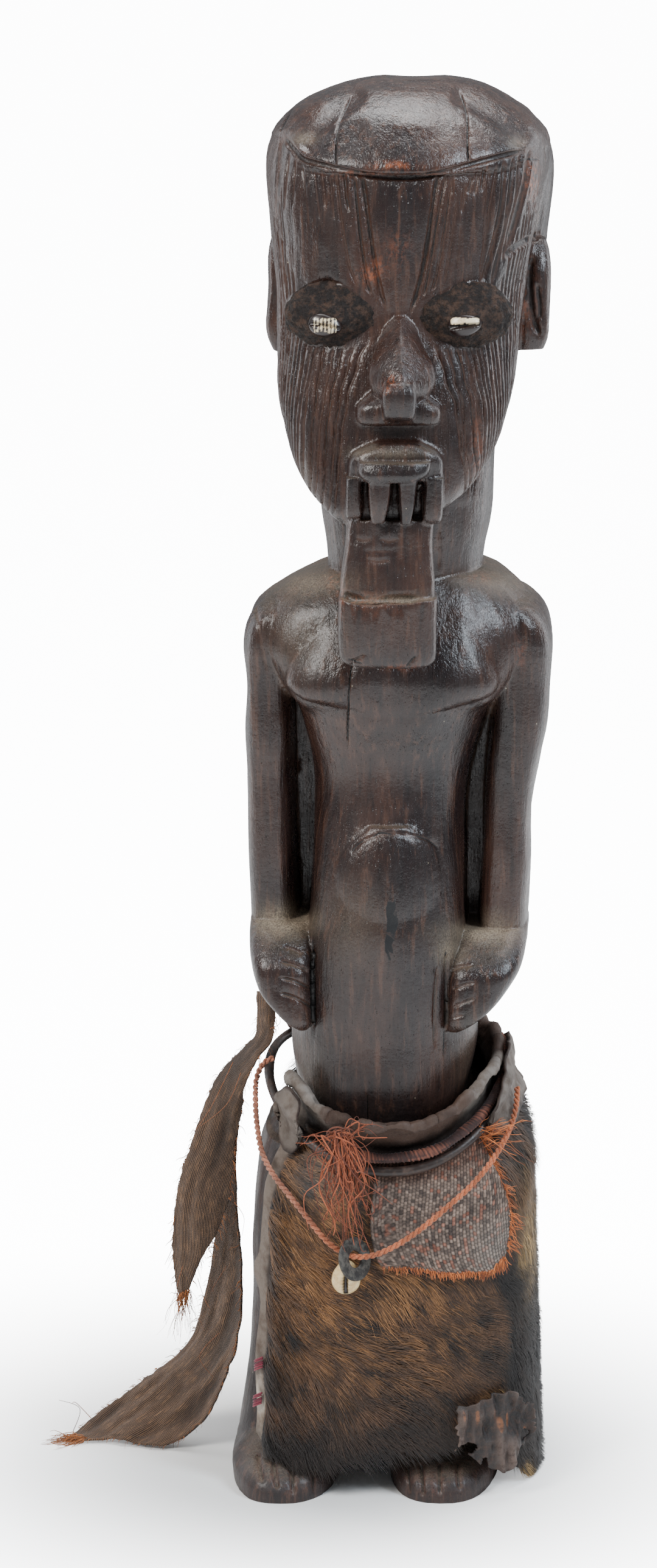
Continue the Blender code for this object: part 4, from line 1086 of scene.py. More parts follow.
class FIGURE_OT_eyes(bpy.types.Operator):
    """Sets the resin and the shells in the eyes"""
    bl_idname = "figure.eyes"
    bl_label = "Set the eyes"

    def execute(self, context):
        f = Finish("eye_resin")
        lump = f.noise(f.place(), 700, 5, 0.7)
        pore = f.cells(f.place(), 900)
        colour = f.blend(f.span(f.noise(f.place(), 240, 5, 0.7), 0.42, 0.64), linear(30, 24, 22),
                         linear(70, 52, 42))
        colour = f.blend(f.times(f.span(pore, 0.25, 0.05), 0.6), colour, linear(20, 15, 14))
        f.bump(f.noise(f.place(), 260, 5, 0.72), 1.0, 0.0020)
        f.bump(lump, 0.9, 0.0011)
        f.bump(pore, 0.6, 0.0006)
        resin = f.done(colour, f.span(lump, 0.3, 0.7, 0.55, 0.85), Specular_IOR_Level=0.3)
        ivory = shell_finish("eye_shell", linear(236, 222, 190), linear(214, 190, 150))
        for number, (side, x) in enumerate((("right", EYES[0][0]), ("left", EYES[1][0]))):
            bpy.ops.object.select_all(action="DESELECT")
            bpy.ops.mesh.primitive_uv_sphere_add(segments=96, ring_count=64, radius=1)
            crust = bpy.context.active_object
            co = np.empty(len(crust.data.vertices) * 3)
            crust.data.vertices.foreach_get("co", co)
            co = co.reshape(-1, 3)
            edge = 1 + 0.04 * grain(co, 0.5, 5 + number) + 0.03 * grain(co, 0.22, 6 + number)
            co = co * np.array((23.6, 13.0, 16.4)) * edge[:, None]
            co = co + unit(co) * (0.75 * grain(co, 3.0, 7) + 0.50 * grain(co, 1.2, 8))[:, None]
            shell_x, shell_z = (-4.8, -2.5) if side == "right" else (1.0, -2.5)
            near = ((co[:, 0] - shell_x) / 8.6) ** 2 + ((co[:, 2] - shell_z) / 6.2) ** 2
            co[:, 1] -= np.where(co[:, 1] < 0, 1.9 * np.exp(-near ** 2 * 0.5), 0)
            crust.data.vertices.foreach_set("co", (co * STEP).ravel())
            crust.data.shade_smooth()
            crust.data.materials.append(resin)
            turn_and_place(crust, (0, 0, 0), (x, -58.6, EYE_Z + 0.3))
            take_on(crust, "eye_resin_" + side, ["eye_crust_" + side])
            shell = cowrie_piece("eye", 0.0156, 0.0104, 0.0060, ivory, 0.16)
            tilt = math.pi / 2 + (0.16 if side == "right" else -0.14)
            turn_and_place(shell, (0.10, tilt, 0), (x + shell_x, -72.6, EYE_Z + shell_z))
            points = read_points(shell.data)[0]
            level = points[:, 2] - (EYE_Z + shell_z)
            lump = 0.5 + 0.5 * grain(points, 1.6, 12)
            if side == "right":
                bare = np.where(level > 0, level < 3.6, level > -2.6 - lump)
                bare = bare * (np.abs(points[:, 0] - x - shell_x) < 5.2)
                # Dark stripes between the shell's teeth: painted shade.
                rib = np.cos(2 * np.pi * (points[:, 0] - x - shell_x) / 1.75)
                dark = np.where(rib < -0.15, 1.0, 0.0)
            else:
                bare = (level > 0.7) & (level < 3.4 + 0.5 * lump) & (np.abs(points[:, 0] - x - shell_x) < 6.6)
                dark = np.zeros(len(points))
            put_values(shell.data, "slit", np.clip(1 - bare + dark + (lump > 0.78), 0, 1))
            take_on(shell, "eye_shell_" + side, ["eye_cowrie_" + side])
        return {"FINISHED"}


# The line of the waist that hide, hoop, rope and mat follow, in steps and degrees from the front

WAIST_MIDDLE = -3.5
HOOP_FRONT_Z = 176.0
HOOP_RISE = 40.0
HIDE_START, HIDE_END = -58.0, 215.0
HIDE, MAT, HOOP, ROPE = 3.2, 2.0, 4.8, 5.4
SLOPE = 1.5
UNDER_HOOP = SLOPE * (HIDE + MAT) + 1.2
HOOP_OUT = UNDER_HOOP + HOOP / 2
ROPE_OUT = SLOPE * HIDE + 3.0 + ROPE / 2


def reach(depth):
    """How far the hide hangs out at a depth under the hoop, and how square it is."""
    share = soft((depth + 1) / 34)
    hang = np.maximum(depth - 18, 0)
    flare = np.maximum(-depth, 0)
    return (mix(48, 66, share) + 0.04 * hang + 0.2 * flare, mix(46.5, 57, share) + 0.05 * hang + 0.5 * flare,
            mix(56, 74, share) + 0.01 * hang, mix(2.2, 2.9, share))


def wrap(angle, depth, out=0.0):
    """x and y of the hide's inner side, moved out."""
    side, front, back, square = reach(depth)
    s, c = np.sin(np.radians(angle)), np.cos(np.radians(angle))
    x = np.sign(s) * np.abs(s) ** (2 / square) * (side + out)
    y = -np.sign(c) * np.abs(c) ** (2 / square) * (np.where(c > 0, front, back) + out)
    return x, y + WAIST_MIDDLE


def hoop_height(y):
    """Height of the hoop, which dips at the front."""
    return HOOP_FRONT_Z + HOOP_RISE * (1 - np.exp(-(y + 60) / 36))


def on_hide(angle, height, out):
    """Points at a height, outside the hide's inner side."""
    angle, height, out = np.broadcast_arrays(np.asarray(angle, float), height, out)
    depth = np.zeros(angle.shape)
    for _ in range(3):
        depth = hoop_height(wrap(angle, depth, out)[1]) - height
    x, y = wrap(angle, depth, out)
    return np.stack((x, y, height), axis=-1)


def girdle(angle, out, lift=0.0):
    """Points on the hoop's line."""
    x, y = wrap(np.asarray(angle, float), 0.0, out)
    return np.stack((x, y, hoop_height(y) + lift), axis=-1)


def hide_top(angle):
    """Height of the hide's rolled upper edge."""
    rise = along([(-58, 19), (-48, 21), (-36, 15), (-10, 16), (22, 15), (44, 19), (62, 19), (90, 12),
                  (215, 10)], angle)
    return hoop_height(wrap(angle, 0.0)[1]) + rise


def hide_hem(angle):
    """Height of the hide's lower edge."""
    return along([(-58, 32), (-48, 26), (-12, 26), (6, 31), (24, 48), (36, 38), (56, 13), (76, 8),
                  (100, 9), (135, 22), (175, 30), (215, 36)], angle)


def hide_fold(angle, height):
    """How far the hide's folds stand out."""
    p = np.stack((angle / 26, height / 45, np.ones_like(angle)), axis=-1)
    return np.maximum(1.6 * grain(p, 1.0, 2), -0.4) * soft((170 - height) / 60)


def hide_grid(columns, rows_low, rows_high):
    """The hide's outer side from hem to rim, with the rim rolled out."""
    angle = np.linspace(HIDE_START, HIDE_END, columns)
    hoop = girdle(angle, HIDE)[:, 2]
    top = hide_top(angle) + 3.0 * ripple(angle, 6, 3) + 1.5 * ripple(angle, 1.7, 4)
    hem = hide_hem(angle) + 1.5 * ripple(angle, 5, 9)
    levels = [mix(hem, hoop - 4, k / rows_low) for k in range(rows_low)]
    levels += [mix(hoop - 4, top, k / rows_high) for k in range(rows_high + 1)]
    height = np.array(levels)
    spread = np.broadcast_to(angle, height.shape)
    edge = soft(1 - np.arange(columns) / columns * 22)
    nub = 9 * np.exp(-((height - 115) / 7) ** 2) * edge + 1.2 * np.sin(height / 9) * edge
    out = HIDE + hide_fold(spread, height)
    grid = on_hide(spread - nub, height, out)
    return grid, spread, height


class FIGURE_OT_hide(bpy.types.Operator):
    """Wraps the hide round the hips, with its rolled rim"""
    bl_idname = "figure.hide"
    bl_label = "Wrap the hide"

    def execute(self, context):
        grid, angle, height = hide_grid(230, 26, 16)
        normals = grid_normals(grid)
        count = 7
        turn = np.linspace(0, 1, count)[1:, None, None]
        bulge = 0.9 + 0.7 * ripple(angle[-1], 9, 5)[:, None]
        roll = (grid[-1] + normals[-1] * bulge * 2 * np.sin(turn * 1.9)
                + np.array((0, 0, 1.0)) * bulge * (1.1 * np.sin(turn * 3.0) - 2.4 * turn ** 2))
        grid = np.concatenate((grid, roll))
        angle = np.concatenate((angle, np.repeat(angle[-1:], count - 1, 0)))
        above = np.concatenate((height - girdle(angle[0], HIDE)[:, 2],
                                np.full((count - 1, grid.shape[1]), 20.0)))
        crumple = 0.7 * grain(grid, 7.0, 6) + 0.35 * grain(grid, 2.6, 7)
        grid = grid + grid_normals(grid) * (crumple * soft((above + 4) / 6))[..., None]
        shade = np.empty(grid.shape)
        shade[:] = linear(40, 28, 22)
        grey = soft((above - 2) / 5)[..., None]
        lobes = (soft((np.abs(angle + 50) - 22) / -8) + soft((np.abs(angle - 60) - 24) / -10))[..., None]
        shade = mix(shade, mix(paint(66, 48, 38), paint(112, 104, 97), lobes), grey)
        bare = soft((-48.5 - angle) / 3)[..., None] * np.clip(1 - grey, 0, 1)
        shade = mix(shade, paint(104, 92, 82), bare)
        paste = np.exp(-((angle + 55) / 4) ** 2 - ((grid[..., 2] - 50) / 10) ** 2)
        paste = paste * soft(grain(grid, 4.0, 15) + 0.8)
        shade = mix(shade, paint(214, 204, 188), np.clip(1.3 * paste, 0, 1)[..., None])
        piece = cloth("hide", grid, 1.8, hide_finish(), {"shade": shade})
        take_on(piece, "hide_leather", ["hide_skirt"])
        lobes = [self.lobe(-59, -41, 15, 19, 5), self.lobe(50, 112, 15, 16, 8)]
        return {"FINISHED"}

    def lobe(self, low, high, under, over, seed):
        """A lobe of the hide's bare edge that lies over the hoop's end."""
        across, up = 60, 50
        u, v = net(across, up)
        rag = np.stack((u / 0.13, u * 0, u * 0 + seed), -1)
        waver = 1.5 * grain(np.stack((v / 0.2, v * 0, v * 0 + seed), -1), 1.0, 2)
        angle = mix(low, high, u) + waver * (u - 0.5) * 2
        hoop = girdle(angle, HIDE)[..., 2]
        round_off = 1 - np.abs(2 * u - 1) ** 2.6
        bottom = hoop - (under * round_off ** 0.6 + 2.5 * grain(rag, 1.0, 3))
        top = hoop + over * round_off ** 0.5 + 3.0 * grain(rag, 1.0, 4)
        height = mix(bottom, top, v)
        above = height - hoop
        out = ROPE_OUT + ROPE / 2 + 1.4 - 4.5 * soft((-above - 8) / 14) - 5.0 * soft((above - 7) / 9)
        grid = on_hide(angle, height, out)
        crumple = 1.1 * grain(grid, 9.0, seed) + 0.5 * grain(grid, 3.5, seed + 1)
        grid = grid + grid_normals(grid) * crumple[..., None]
        edge = np.maximum(soft((0.10 - v) / 0.10) + 0 * u, soft((v - 0.93) / 0.07) + 0 * u)
        shade = mix(paint(104, 94, 86), paint(58, 43, 35), edge[..., None])
        shade = shade * (0.85 + 0.25 * grain(grid, 6.0, seed + 3))[..., None]
        piece = cloth("lobe", grid, 1.3, hide_finish(), {"shade": shade})
        take_on(piece, "hide_lobe_" + str(seed), [])
        return piece


def fur_colours(angle, height, seed):
    """Colours of hairs by their place on the hide."""
    p = np.stack((angle / 60, height / 60, np.full(len(angle), seed)), axis=1)
    dark, brown, ochre, gold = (paint(*c) for c in
                                ((26, 20, 19), (86, 61, 43), (158, 112, 68), (220, 178, 112)))
    streak = soft((grain(p, 0.12, 21) + 0.62) / 1.1)[:, None]
    light = soft((grain(p, 0.035, 22) + 0.35) / 1.0)[:, None]
    colour = mix(dark, brown, streak)
    middle = np.exp(-((angle + 14) / 38) ** 2 - ((height - 104) / 38) ** 2)[:, None]
    upper = (soft((height - 96) / 40) * soft((30 - angle) / 30))[:, None]
    colour = mix(colour, ochre, np.clip(0.95 * middle * light + 0.75 * upper * light, 0, 1))
    patch = soft((angle - 32) / 12) * soft((140 - height) / 10) * soft((120 - angle) / 25)
    black = np.clip(soft((54 - height) / 22) + patch, 0, 1)[:, None]
    colour = mix(colour, dark * 0.75, 0.88 * black)
    golden = (np.exp(-((angle - 67) / 12) ** 2 - ((height - 138) / 24) ** 2)
              + 0.8 * np.exp(-((angle - 34) / 6) ** 2 - ((height - 58) / 5) ** 2)
              + 0.8 * np.exp(-((angle - 52) / 10) ** 2 - ((height - 14) / 5) ** 2))[:, None]
    return mix(colour, gold, np.clip(golden * 1.1, 0, 1) * (0.25 + 0.65 * light))


def fur_roots(count, low_angle, high_angle, seed, where=None):
    """Roots on the hide's outer side with their surface directions."""
    rng = np.random.default_rng(seed)
    angle = rng.uniform(low_angle, high_angle, count)
    share = rng.uniform(0, 1, count)
    hem = hide_hem(angle)
    hoop = girdle(angle, HIDE)[:, 2]
    height = mix(hem + 1, hoop - 3, share)
    keep = np.ones(count, bool) if where is None else where(angle, height)
    angle, height = angle[keep], height[keep]
    out = HIDE + hide_fold(angle, height) + 0.2
    root = on_hide(angle, height, out)
    east = unit(on_hide(angle + 0.6, height, out) - root)
    down = unit(on_hide(angle, height - 0.8, out) - root)
    normal = unit(np.cross(down, east))
    return angle, height, root, east, down, normal, rng


class FIGURE_OT_fur(bpy.types.Operator):
    """Grows the hide's fur"""
    bl_idname = "figure.fur"
    bl_label = "Grow the fur"

    def execute(self, context):
        sizes = context.scene.figure_sizes
        coat = fibre_finish("fur", 0.55, 0.05)
        length = sizes.fur_length / STEP

        def bare(angle, height):
            under_mat = (angle > 2) & (angle < 50) & (height > 138)
            return ~under_mat & (angle > -50.5 + 1.5 * np.sin(height / 6))

        share = ((-60, 30, 0.40, 31), (30, 92, 0.34, 32), (92, 217, 0.26, 33))
        for number, (low, high, part, seed) in enumerate(share):
            count = int(sizes.fur_count * part)
            angle, height, root, east, down, normal, rng = fur_roots(
                count, max(low, HIDE_START), min(high, HIDE_END), seed, bare)
            p = np.stack((angle / 60, height / 60, np.zeros(len(angle))), axis=1)
            lean = along([(-60, 62), (-20, 70), (20, 66), (50, 40), (75, 30), (100, 50), (220, 60)], angle)
            lean = lean * mix(0.72, 1.0, soft((height - 30) / 50))
            lean = lean + 34 * grain(p, 0.24, 41) + 20 * grain(p, 0.08, 42)
            lean = np.radians(lean + rng.normal(0, 10, len(angle)))
            way = unit(east * np.sin(lean)[:, None] + down * np.cos(lean)[:, None])
            size = length * (0.75 + 0.35 * rng.uniform(0, 1, len(angle)) + 0.2 * grain(p, 0.15, 43))
            lift = 0.32 + 0.16 * grain(p, 0.06, 44) + 0.14 * rng.uniform(-1, 1, len(angle))
            edge = np.exp(-((angle - 92) / 20) ** 2) + 0.6 * np.exp(-((angle + 52) / 5) ** 2)
            lift = lift + edge * rng.uniform(0.1, 0.75, len(angle))
            width = 0.27 + 0.13 * rng.uniform(0, 1, len(angle))
            colour = fur_colours(angle, height, number)
            colour = colour * (0.45 + 1.1 * rng.uniform(0, 1, (len(angle), 1)) ** 1.5)
            piece = hairs("fur", root, way, normal, size, width, np.clip(lift, 0.05, 0.9), colour, coat, 2)
            take_on(piece, "fur_" + ("front", "left", "back")[number], [])
        return {"FINISHED"}


# Hoop, rope and tassel

def ring_tube(name, line, radius, sides, material, shape, colours, closed):
    """A tube along a dense line, its radius and colour worked out by place and angle."""
    count = len(line)
    way = unit(np.roll(line, -1, 0) - np.roll(line, 1, 0)) if closed else unit(np.gradient(line, axis=0))
    side = unit(np.cross(way, np.array((0, 0, 1.0))))
    rise = np.cross(side, way)
    angle = 2 * np.pi * np.arange(sides) / sides
    place = np.concatenate(([0], np.cumsum(np.linalg.norm(np.diff(line, axis=0), axis=1))))
    bulge = shape(place[:, None], angle[None, :])
    ring = np.cos(angle)[None, :, None] * side[:, None] + np.sin(angle)[None, :, None] * rise[:, None]
    points = line[:, None] + ring * (radius * bulge)[..., None]
    index = np.arange(count * sides).reshape(count, sides)
    nxt = np.roll(index, -1, axis=1)
    rows = (index[:-1], index[1:], nxt[:-1], nxt[1:])
    if closed:
        rows = (index, np.roll(index, -1, 0), nxt, np.roll(nxt, -1, 0))
    walls = np.stack((rows[0], rows[1], rows[3], rows[2]), axis=-1).reshape(-1, 4)
    faces = [walls]
    if not closed:
        for end, order in ((index[0], 1), (index[-1], -1)):
            end = end[::order]
            faces.append(np.stack((np.full(sides - 2, end[0]), end[1:-1], end[2:]), axis=-1))
    return mesh_piece(name, points.reshape(-1, 3), faces, material,
                      {"shade": colours(place[:, None], angle[None, :], bulge).reshape(-1, 3)})


class FIGURE_OT_waist(bpy.types.Operator):
    """Puts the hoop, the bound rope and its tassel round the waist"""
    bl_idname = "figure.waist"
    bl_label = "Bind the waist"

    def execute(self, context):
        f = Finish("hoop_skin")
        blotch = f.noise(f.place(), 240, 4, 0.6)
        colour = f.blend(f.span(blotch, 0.4, 0.7), linear(40, 31, 28), linear(70, 54, 46))
        f.bump(f.noise(f.place((1, 1, 4)), 500, 3), 0.35, 0.0004)
        dark = f.done(colour, f.span(blotch, 0.3, 0.7, 0.32, 0.5))
        line = girdle(np.linspace(0, 360, 501)[:-1], HOOP_OUT)
        line = line + 0.3 * np.stack([grain(line, 30.0, k) for k in range(3)], axis=1)
        hoop = ring_tube("hoop", line, HOOP / 2, 20, dark,
                         lambda s, a: 1 + 0.05 * np.sin(s / 9)
                         - 0.10 * np.exp(-((np.abs(a - np.pi) - 0.9) / 0.25) ** 2) + 0 * s,
                         lambda s, a, b: np.ones((*b.shape, 3)), True)
        take_on(hoop, "waist_hoop_skin", ["waist_hoop"])
        fibre = fibre_finish("rope_fibre", 0.8, 0.1)
        line = girdle(np.linspace(-12, 236, 620), ROPE_OUT, (HOOP + ROPE) / 2 + 0.6)
        line = line + 0.35 * np.stack([grain(line, 14.0, 3 + k) for k in range(3)], axis=1)

        def bound(s, a):
            turns = 0.5 + 0.5 * np.cos(2 * np.pi * s / 2.3 + a + 0.6 * np.sin(s / 6))
            uneven = 0.5 + 0.5 * np.sin(s / 3.7 + 2.1 * np.sin(s / 9.3))
            knots = 0.10 * np.sin(s / 5.1 + 1.3 * a) + 0.07 * np.sin(4.1 * s + 3 * a)
            return 0.88 + 0.15 * turns ** 0.7 * uneven + knots

        def bound_colour(s, a, b):
            # Painted shade: the rope is lighter where its turns bulge out and darker in the grooves between
            # them.
            base = mix(paint(58, 36, 32), paint(140, 84, 64), soft((b - 0.90) / 0.25)[..., None])
            return base * (0.7 + 0.5 * chance(np.floor(s / 2.3 + a / 6.28), 4))[..., None]

        rope = ring_tube("rope", line, ROPE / 2, 20, fibre, bound, bound_colour, False)
        take_on(rope, "bound_rope", ["waist_rope"])
        self.tassel(fibre)
        return {"FINISHED"}

    def tassel(self, fibre):
        """Flat fibres that hang from the rope's knot, and a few that stick out."""
        rng = np.random.default_rng(8)
        lines, widths, colours = [], [], []
        for k in range(100):
            kind = k % 25
            start = np.array((559 + rng.normal(0, 8), 1868 + rng.normal(0, 9)))
            if kind < 21:
                end = np.array((rng.normal(576, 26), rng.uniform(1935, 2062)))
            elif kind < 23:
                end = np.array((rng.uniform(478, 530), rng.uniform(1862, 1885)))
            else:
                end = np.array((rng.uniform(590, 640), rng.uniform(1842, 1870)))
            bend = mix(start, end, 0.40) + rng.normal(0, 13, 2)
            knee = mix(start, end, 0.72) + rng.normal(0, 14, 2)
            flat = smooth_line([start, bend, knee, end], 5)
            share = np.linspace(0, 1, len(flat))
            down = soft((flat[:, 1] - 1868) / 60)
            deep = -73.5 - 6.5 * down - rng.uniform(0, 3.0) - 2.0 * np.sin(share * 3.1) * rng.uniform(-0.4, 1)
            lines.append(np.array([seen(a, b, y) for (a, b), y in zip(flat, deep)]))
            wide = rng.choice((0.45, 0.7, 1.1), p=(0.5, 0.35, 0.15))
            widths.append(wide * (1 - 0.5 * share ** 3))
            tone = mix(paint(70, 34, 26), paint(188, 100, 62), rng.uniform(0, 1) ** 1.3)
            colours.append(tone)
        piece = fibres("tassel", np.array(lines), np.array(widths), fibre, np.array(colours), 0.35)
        take_on(piece, "tassel_fibres", ["fibre_tassel"])
        # The knot itself: short turns wound round the rope's end.
        wound = []
        middle = seen(560, 1866, -71.5)
        for k in range(9):
            t = np.linspace(0, 2 * np.pi * 1.1, 26)
            tilt = rng.uniform(-0.5, 0.5)
            ring = np.stack((np.cos(t) * 4.3 + k * 0.5 - 2, np.sin(t) * 3.4,
                             np.cos(t + 1.5) * (3 + tilt * 3) + tilt * 4), axis=1)
            wound.append(middle + ring)
        knot = fibres("knot", np.array(wound), np.full((9, 26), 1.5), fibre,
                      np.array([mix(paint(84, 46, 34), paint(176, 96, 60), chance(k, 3)) for k in range(9)]),
                      0.6, 6, (0, 0, 1))
        take_on(knot, "tassel_knot", [])


# Mat and strips of raffia

def orange(rng, count, low=(120, 62, 38), high=(214, 124, 66)):
    """Random colours between two dry fibre colours."""
    return mix(paint(*low), paint(*high), rng.uniform(0, 1, (count, 1)) ** 0.8)


def fringe(name, starts, ways, lengths, widths, colours, material, sag, rng, points=6, wild=0.12):
    """Loose fibres that start on an edge, bend at random and sag."""
    share = np.linspace(0, 1, points)[None, :, None]
    count = len(starts)
    bend = unit(rng.normal(0, 1, (count, 3)))[:, None]
    second = unit(rng.normal(0, 1, (count, 3)))[:, None]
    size = lengths[:, None, None]
    lines = (starts[:, None] + ways[:, None] * share * size + bend * size * wild * np.sin(share * 2.6)
             + second * size * wild * 0.6 * np.sin(share * 6.0)
             - np.array((0, 0, 1.0)) * sag * size * share ** 2)
    lines[..., 2] = np.maximum(lines[..., 2], FLOOR + 0.4)
    wide = widths[:, None] * (1 - 0.55 * share[..., 0] ** 2)
    return fibres(name, lines, wide, material, colours, 0.55, 4, (0.15, -1, 0.1))


class FIGURE_OT_mat(bpy.types.Operator):
    """Weaves the coarse mat in front, with its fringe"""
    bl_idname = "figure.mat"
    bl_label = "Weave the mat"

    def execute(self, context):
        pitch = context.scene.figure_sizes.mat_pitch / STEP
        rise = 2.0
        across, up = 176, 132
        u, v = net(across, up)
        angle = mix(mix(-0.5, 41, u), mix(-6, 50, u), v ** 0.7)
        hoop = girdle(angle, HIDE)[..., 2]
        low = along([(0, 128), (0.4, 124), (0.8, 123), (1, 129)], u) + 0.8 * ripple(u, 0.05, 8)
        height = mix(low + 0 * v, hoop - 5, v)
        out = SLOPE * HIDE + 0.9 + MAT - 0.5 + 1.6 * soft((175 - height) / 15)
        side_in = on_hide(angle, height, out)
        wide = np.concatenate((np.zeros((up + 1, 1)),
                               np.cumsum(np.linalg.norm(np.diff(side_in, axis=1), axis=2), axis=1)), axis=1)
        tall = np.concatenate((np.zeros((1, across + 1)),
                               np.cumsum(np.linalg.norm(np.diff(side_in, axis=0), axis=2), axis=0)), axis=0)
        place = wide / pitch
        yarn = np.floor(place)
        level = tall / rise + 0.5 * (yarn % 2) + 0.12 * chance(yarn, 6)
        lump = np.sin(np.pi * (place - yarn)) ** 0.6 * (0.30 + 0.70 * np.abs(np.sin(np.pi * level)) ** 0.7)
        row = np.floor(level)
        pick = chance(yarn * 211 + row * 17, 3)
        lump = lump * (0.75 + 0.4 * pick)
        sway = 0.5 * grain(side_in, 17.0, 12) + 0.25 * grain(side_in, 6.0, 13)
        grid = side_in + grid_normals(side_in) * (0.62 * lump + sway)[..., None]
        tone = mix(paint(84, 71, 65), paint(150, 131, 118), pick[..., None])
        warm = (chance(yarn * 97 + row * 31, 5) > 0.86)[..., None]
        tone = np.where(warm, mix(tone, paint(178, 104, 78), 0.5), tone)
        grey = soft((u - 0.35) / 0.5) * soft((0.55 - v) / 0.4)
        tone = mix(tone, paint(150, 142, 134), 0.6 * grey[..., None])
        tone = mix(tone, paint(110, 66, 44), 0.55 * soft((v - 0.72) / 0.2)[..., None])
        # Painted shade: the yarns darken where the weave sinks between them.
        tone = tone * (0.16 + 0.90 * lump ** 1.1)[..., None]
        f = Finish("mat_yarn")
        shade = f.stored("shade", False)
        thread = f.noise(f.place((1, 1, 3)), 1300, 3, 0.6)
        colour = f.blend(f.times(f.span(thread, 0.4, 0.7), 0.45), shade, linear(120, 90, 66), "MULTIPLY")
        f.bump(thread, 0.6, 0.0004)
        yarn_finish = f.done(colour, 0.9, Sheen_Weight=0.1)
        mat = cloth("mat", grid, 1.3, yarn_finish, {"shade": tone})
        take_on(mat, "mat_cloth", ["raffia_mat"])
        rng = np.random.default_rng(5)
        loose = fibre_finish("fringe_fibre", 0.8, 0.1)
        count = 420
        edge = rng.integers(0, across + 1, count)
        start = grid[0, edge] + rng.normal(0, 0.3, (count, 3)) + np.array((0, -0.1, 0.5))
        way = unit(np.array((0.15, -0.12, -1.0)) + rng.normal(0, 0.28, (count, 3)))
        size = 1.6 + 2.6 * rng.uniform(0, 1, count) ** 2 + 3 * (edge / across > 0.9)
        right = rng.integers(6, up, 150)
        start = np.concatenate((start, grid[right, -1] + rng.normal(0, 0.3, (150, 3))))
        way = np.concatenate((way, unit(np.array((0.7, -0.1, -0.55)) + rng.normal(0, 0.35, (150, 3)))))
        size = np.concatenate((size, 2.5 + 6.0 * rng.uniform(0, 1, 150)))
        upper = np.array([seen(a, b, -47.0)
                          for a, b in zip(rng.uniform(786, 806, 34), rng.uniform(1850, 1885, 34))])
        start = np.concatenate((start, upper))
        way = np.concatenate((way, unit(np.array((0.95, 0.1, 0.25)) + rng.normal(0, 0.35, (34, 3)))))
        size = np.concatenate((size, rng.uniform(8, 24, 34)))
        total = len(start)
        wide = rng.choice((0.28, 0.42, 0.6), total)
        edging = fringe("fringe", start, way, size, wide, orange(rng, total), loose, 0.2, rng)
        take_on(edging, "mat_fringe", [])
        return {"FINISHED"}


LOOSE_WIRES = ((383, 1745, 312, 1870, -2), (396, 1762, 330, 1850, -4), (120, 2352, 97, 2300, 2),
               (150, 2330, 118, 2306, 0), (292, 2120, 300, 2160, -6), (325, 2100, 345, 2150, -8),
               (360, 2190, 350, 2262, -14), (372, 2080, 352, 2120, -8), (444, 1690, 452, 1650, 4),
               (300, 2080, 282, 2140, -6), (385, 1975, 398, 2030, -8))
SHORT_STRIP = [(-66, 15, 243, -57, 12, 244), (-66, 14, 231, -56, 8, 231), (-67, 14, 221, -58, 4, 220.5),
               (-73, 14, 215, -65.5, -1, 212), (-81, 11, 209, -71, -5, 200), (-90, 6, 197, -73, -7, 186),
               (-98, -1, 173, -76, -7, 165), (-105, -3, 154, -78, -8, 144), (-109, -5, 132, -84, -8, 125),
               (-109, -5, 108, -94, -8, 108), (-105, -5, 88, -101, -6, 89)]
LONG_STRIP = [(-66, 30, 214, -66, 16, 212), (-74, 27, 198, -72, 11, 195), (-82, 20, 170, -76, 6, 168),
              (-85, 16, 140, -76, 2, 138), (-89, 14, 108, -74, -5, 104), (-93, 14, 80, -74, -11, 82),
              (-99, 15, 60, -75, -15, 66), (-108, 16, 48, -79, -15, 52), (-119, 17, 40, -84, -13, 35),
              (-129, 18, 32, -94, -10, 18), (-139, 19, 24, -110, -9, 7.5), (-148, 17, 17, -126, -6, 7),
              (-157, 12, 11, -142, 0, 7), (-163, 5, 7.5, -157, -1, 7)]


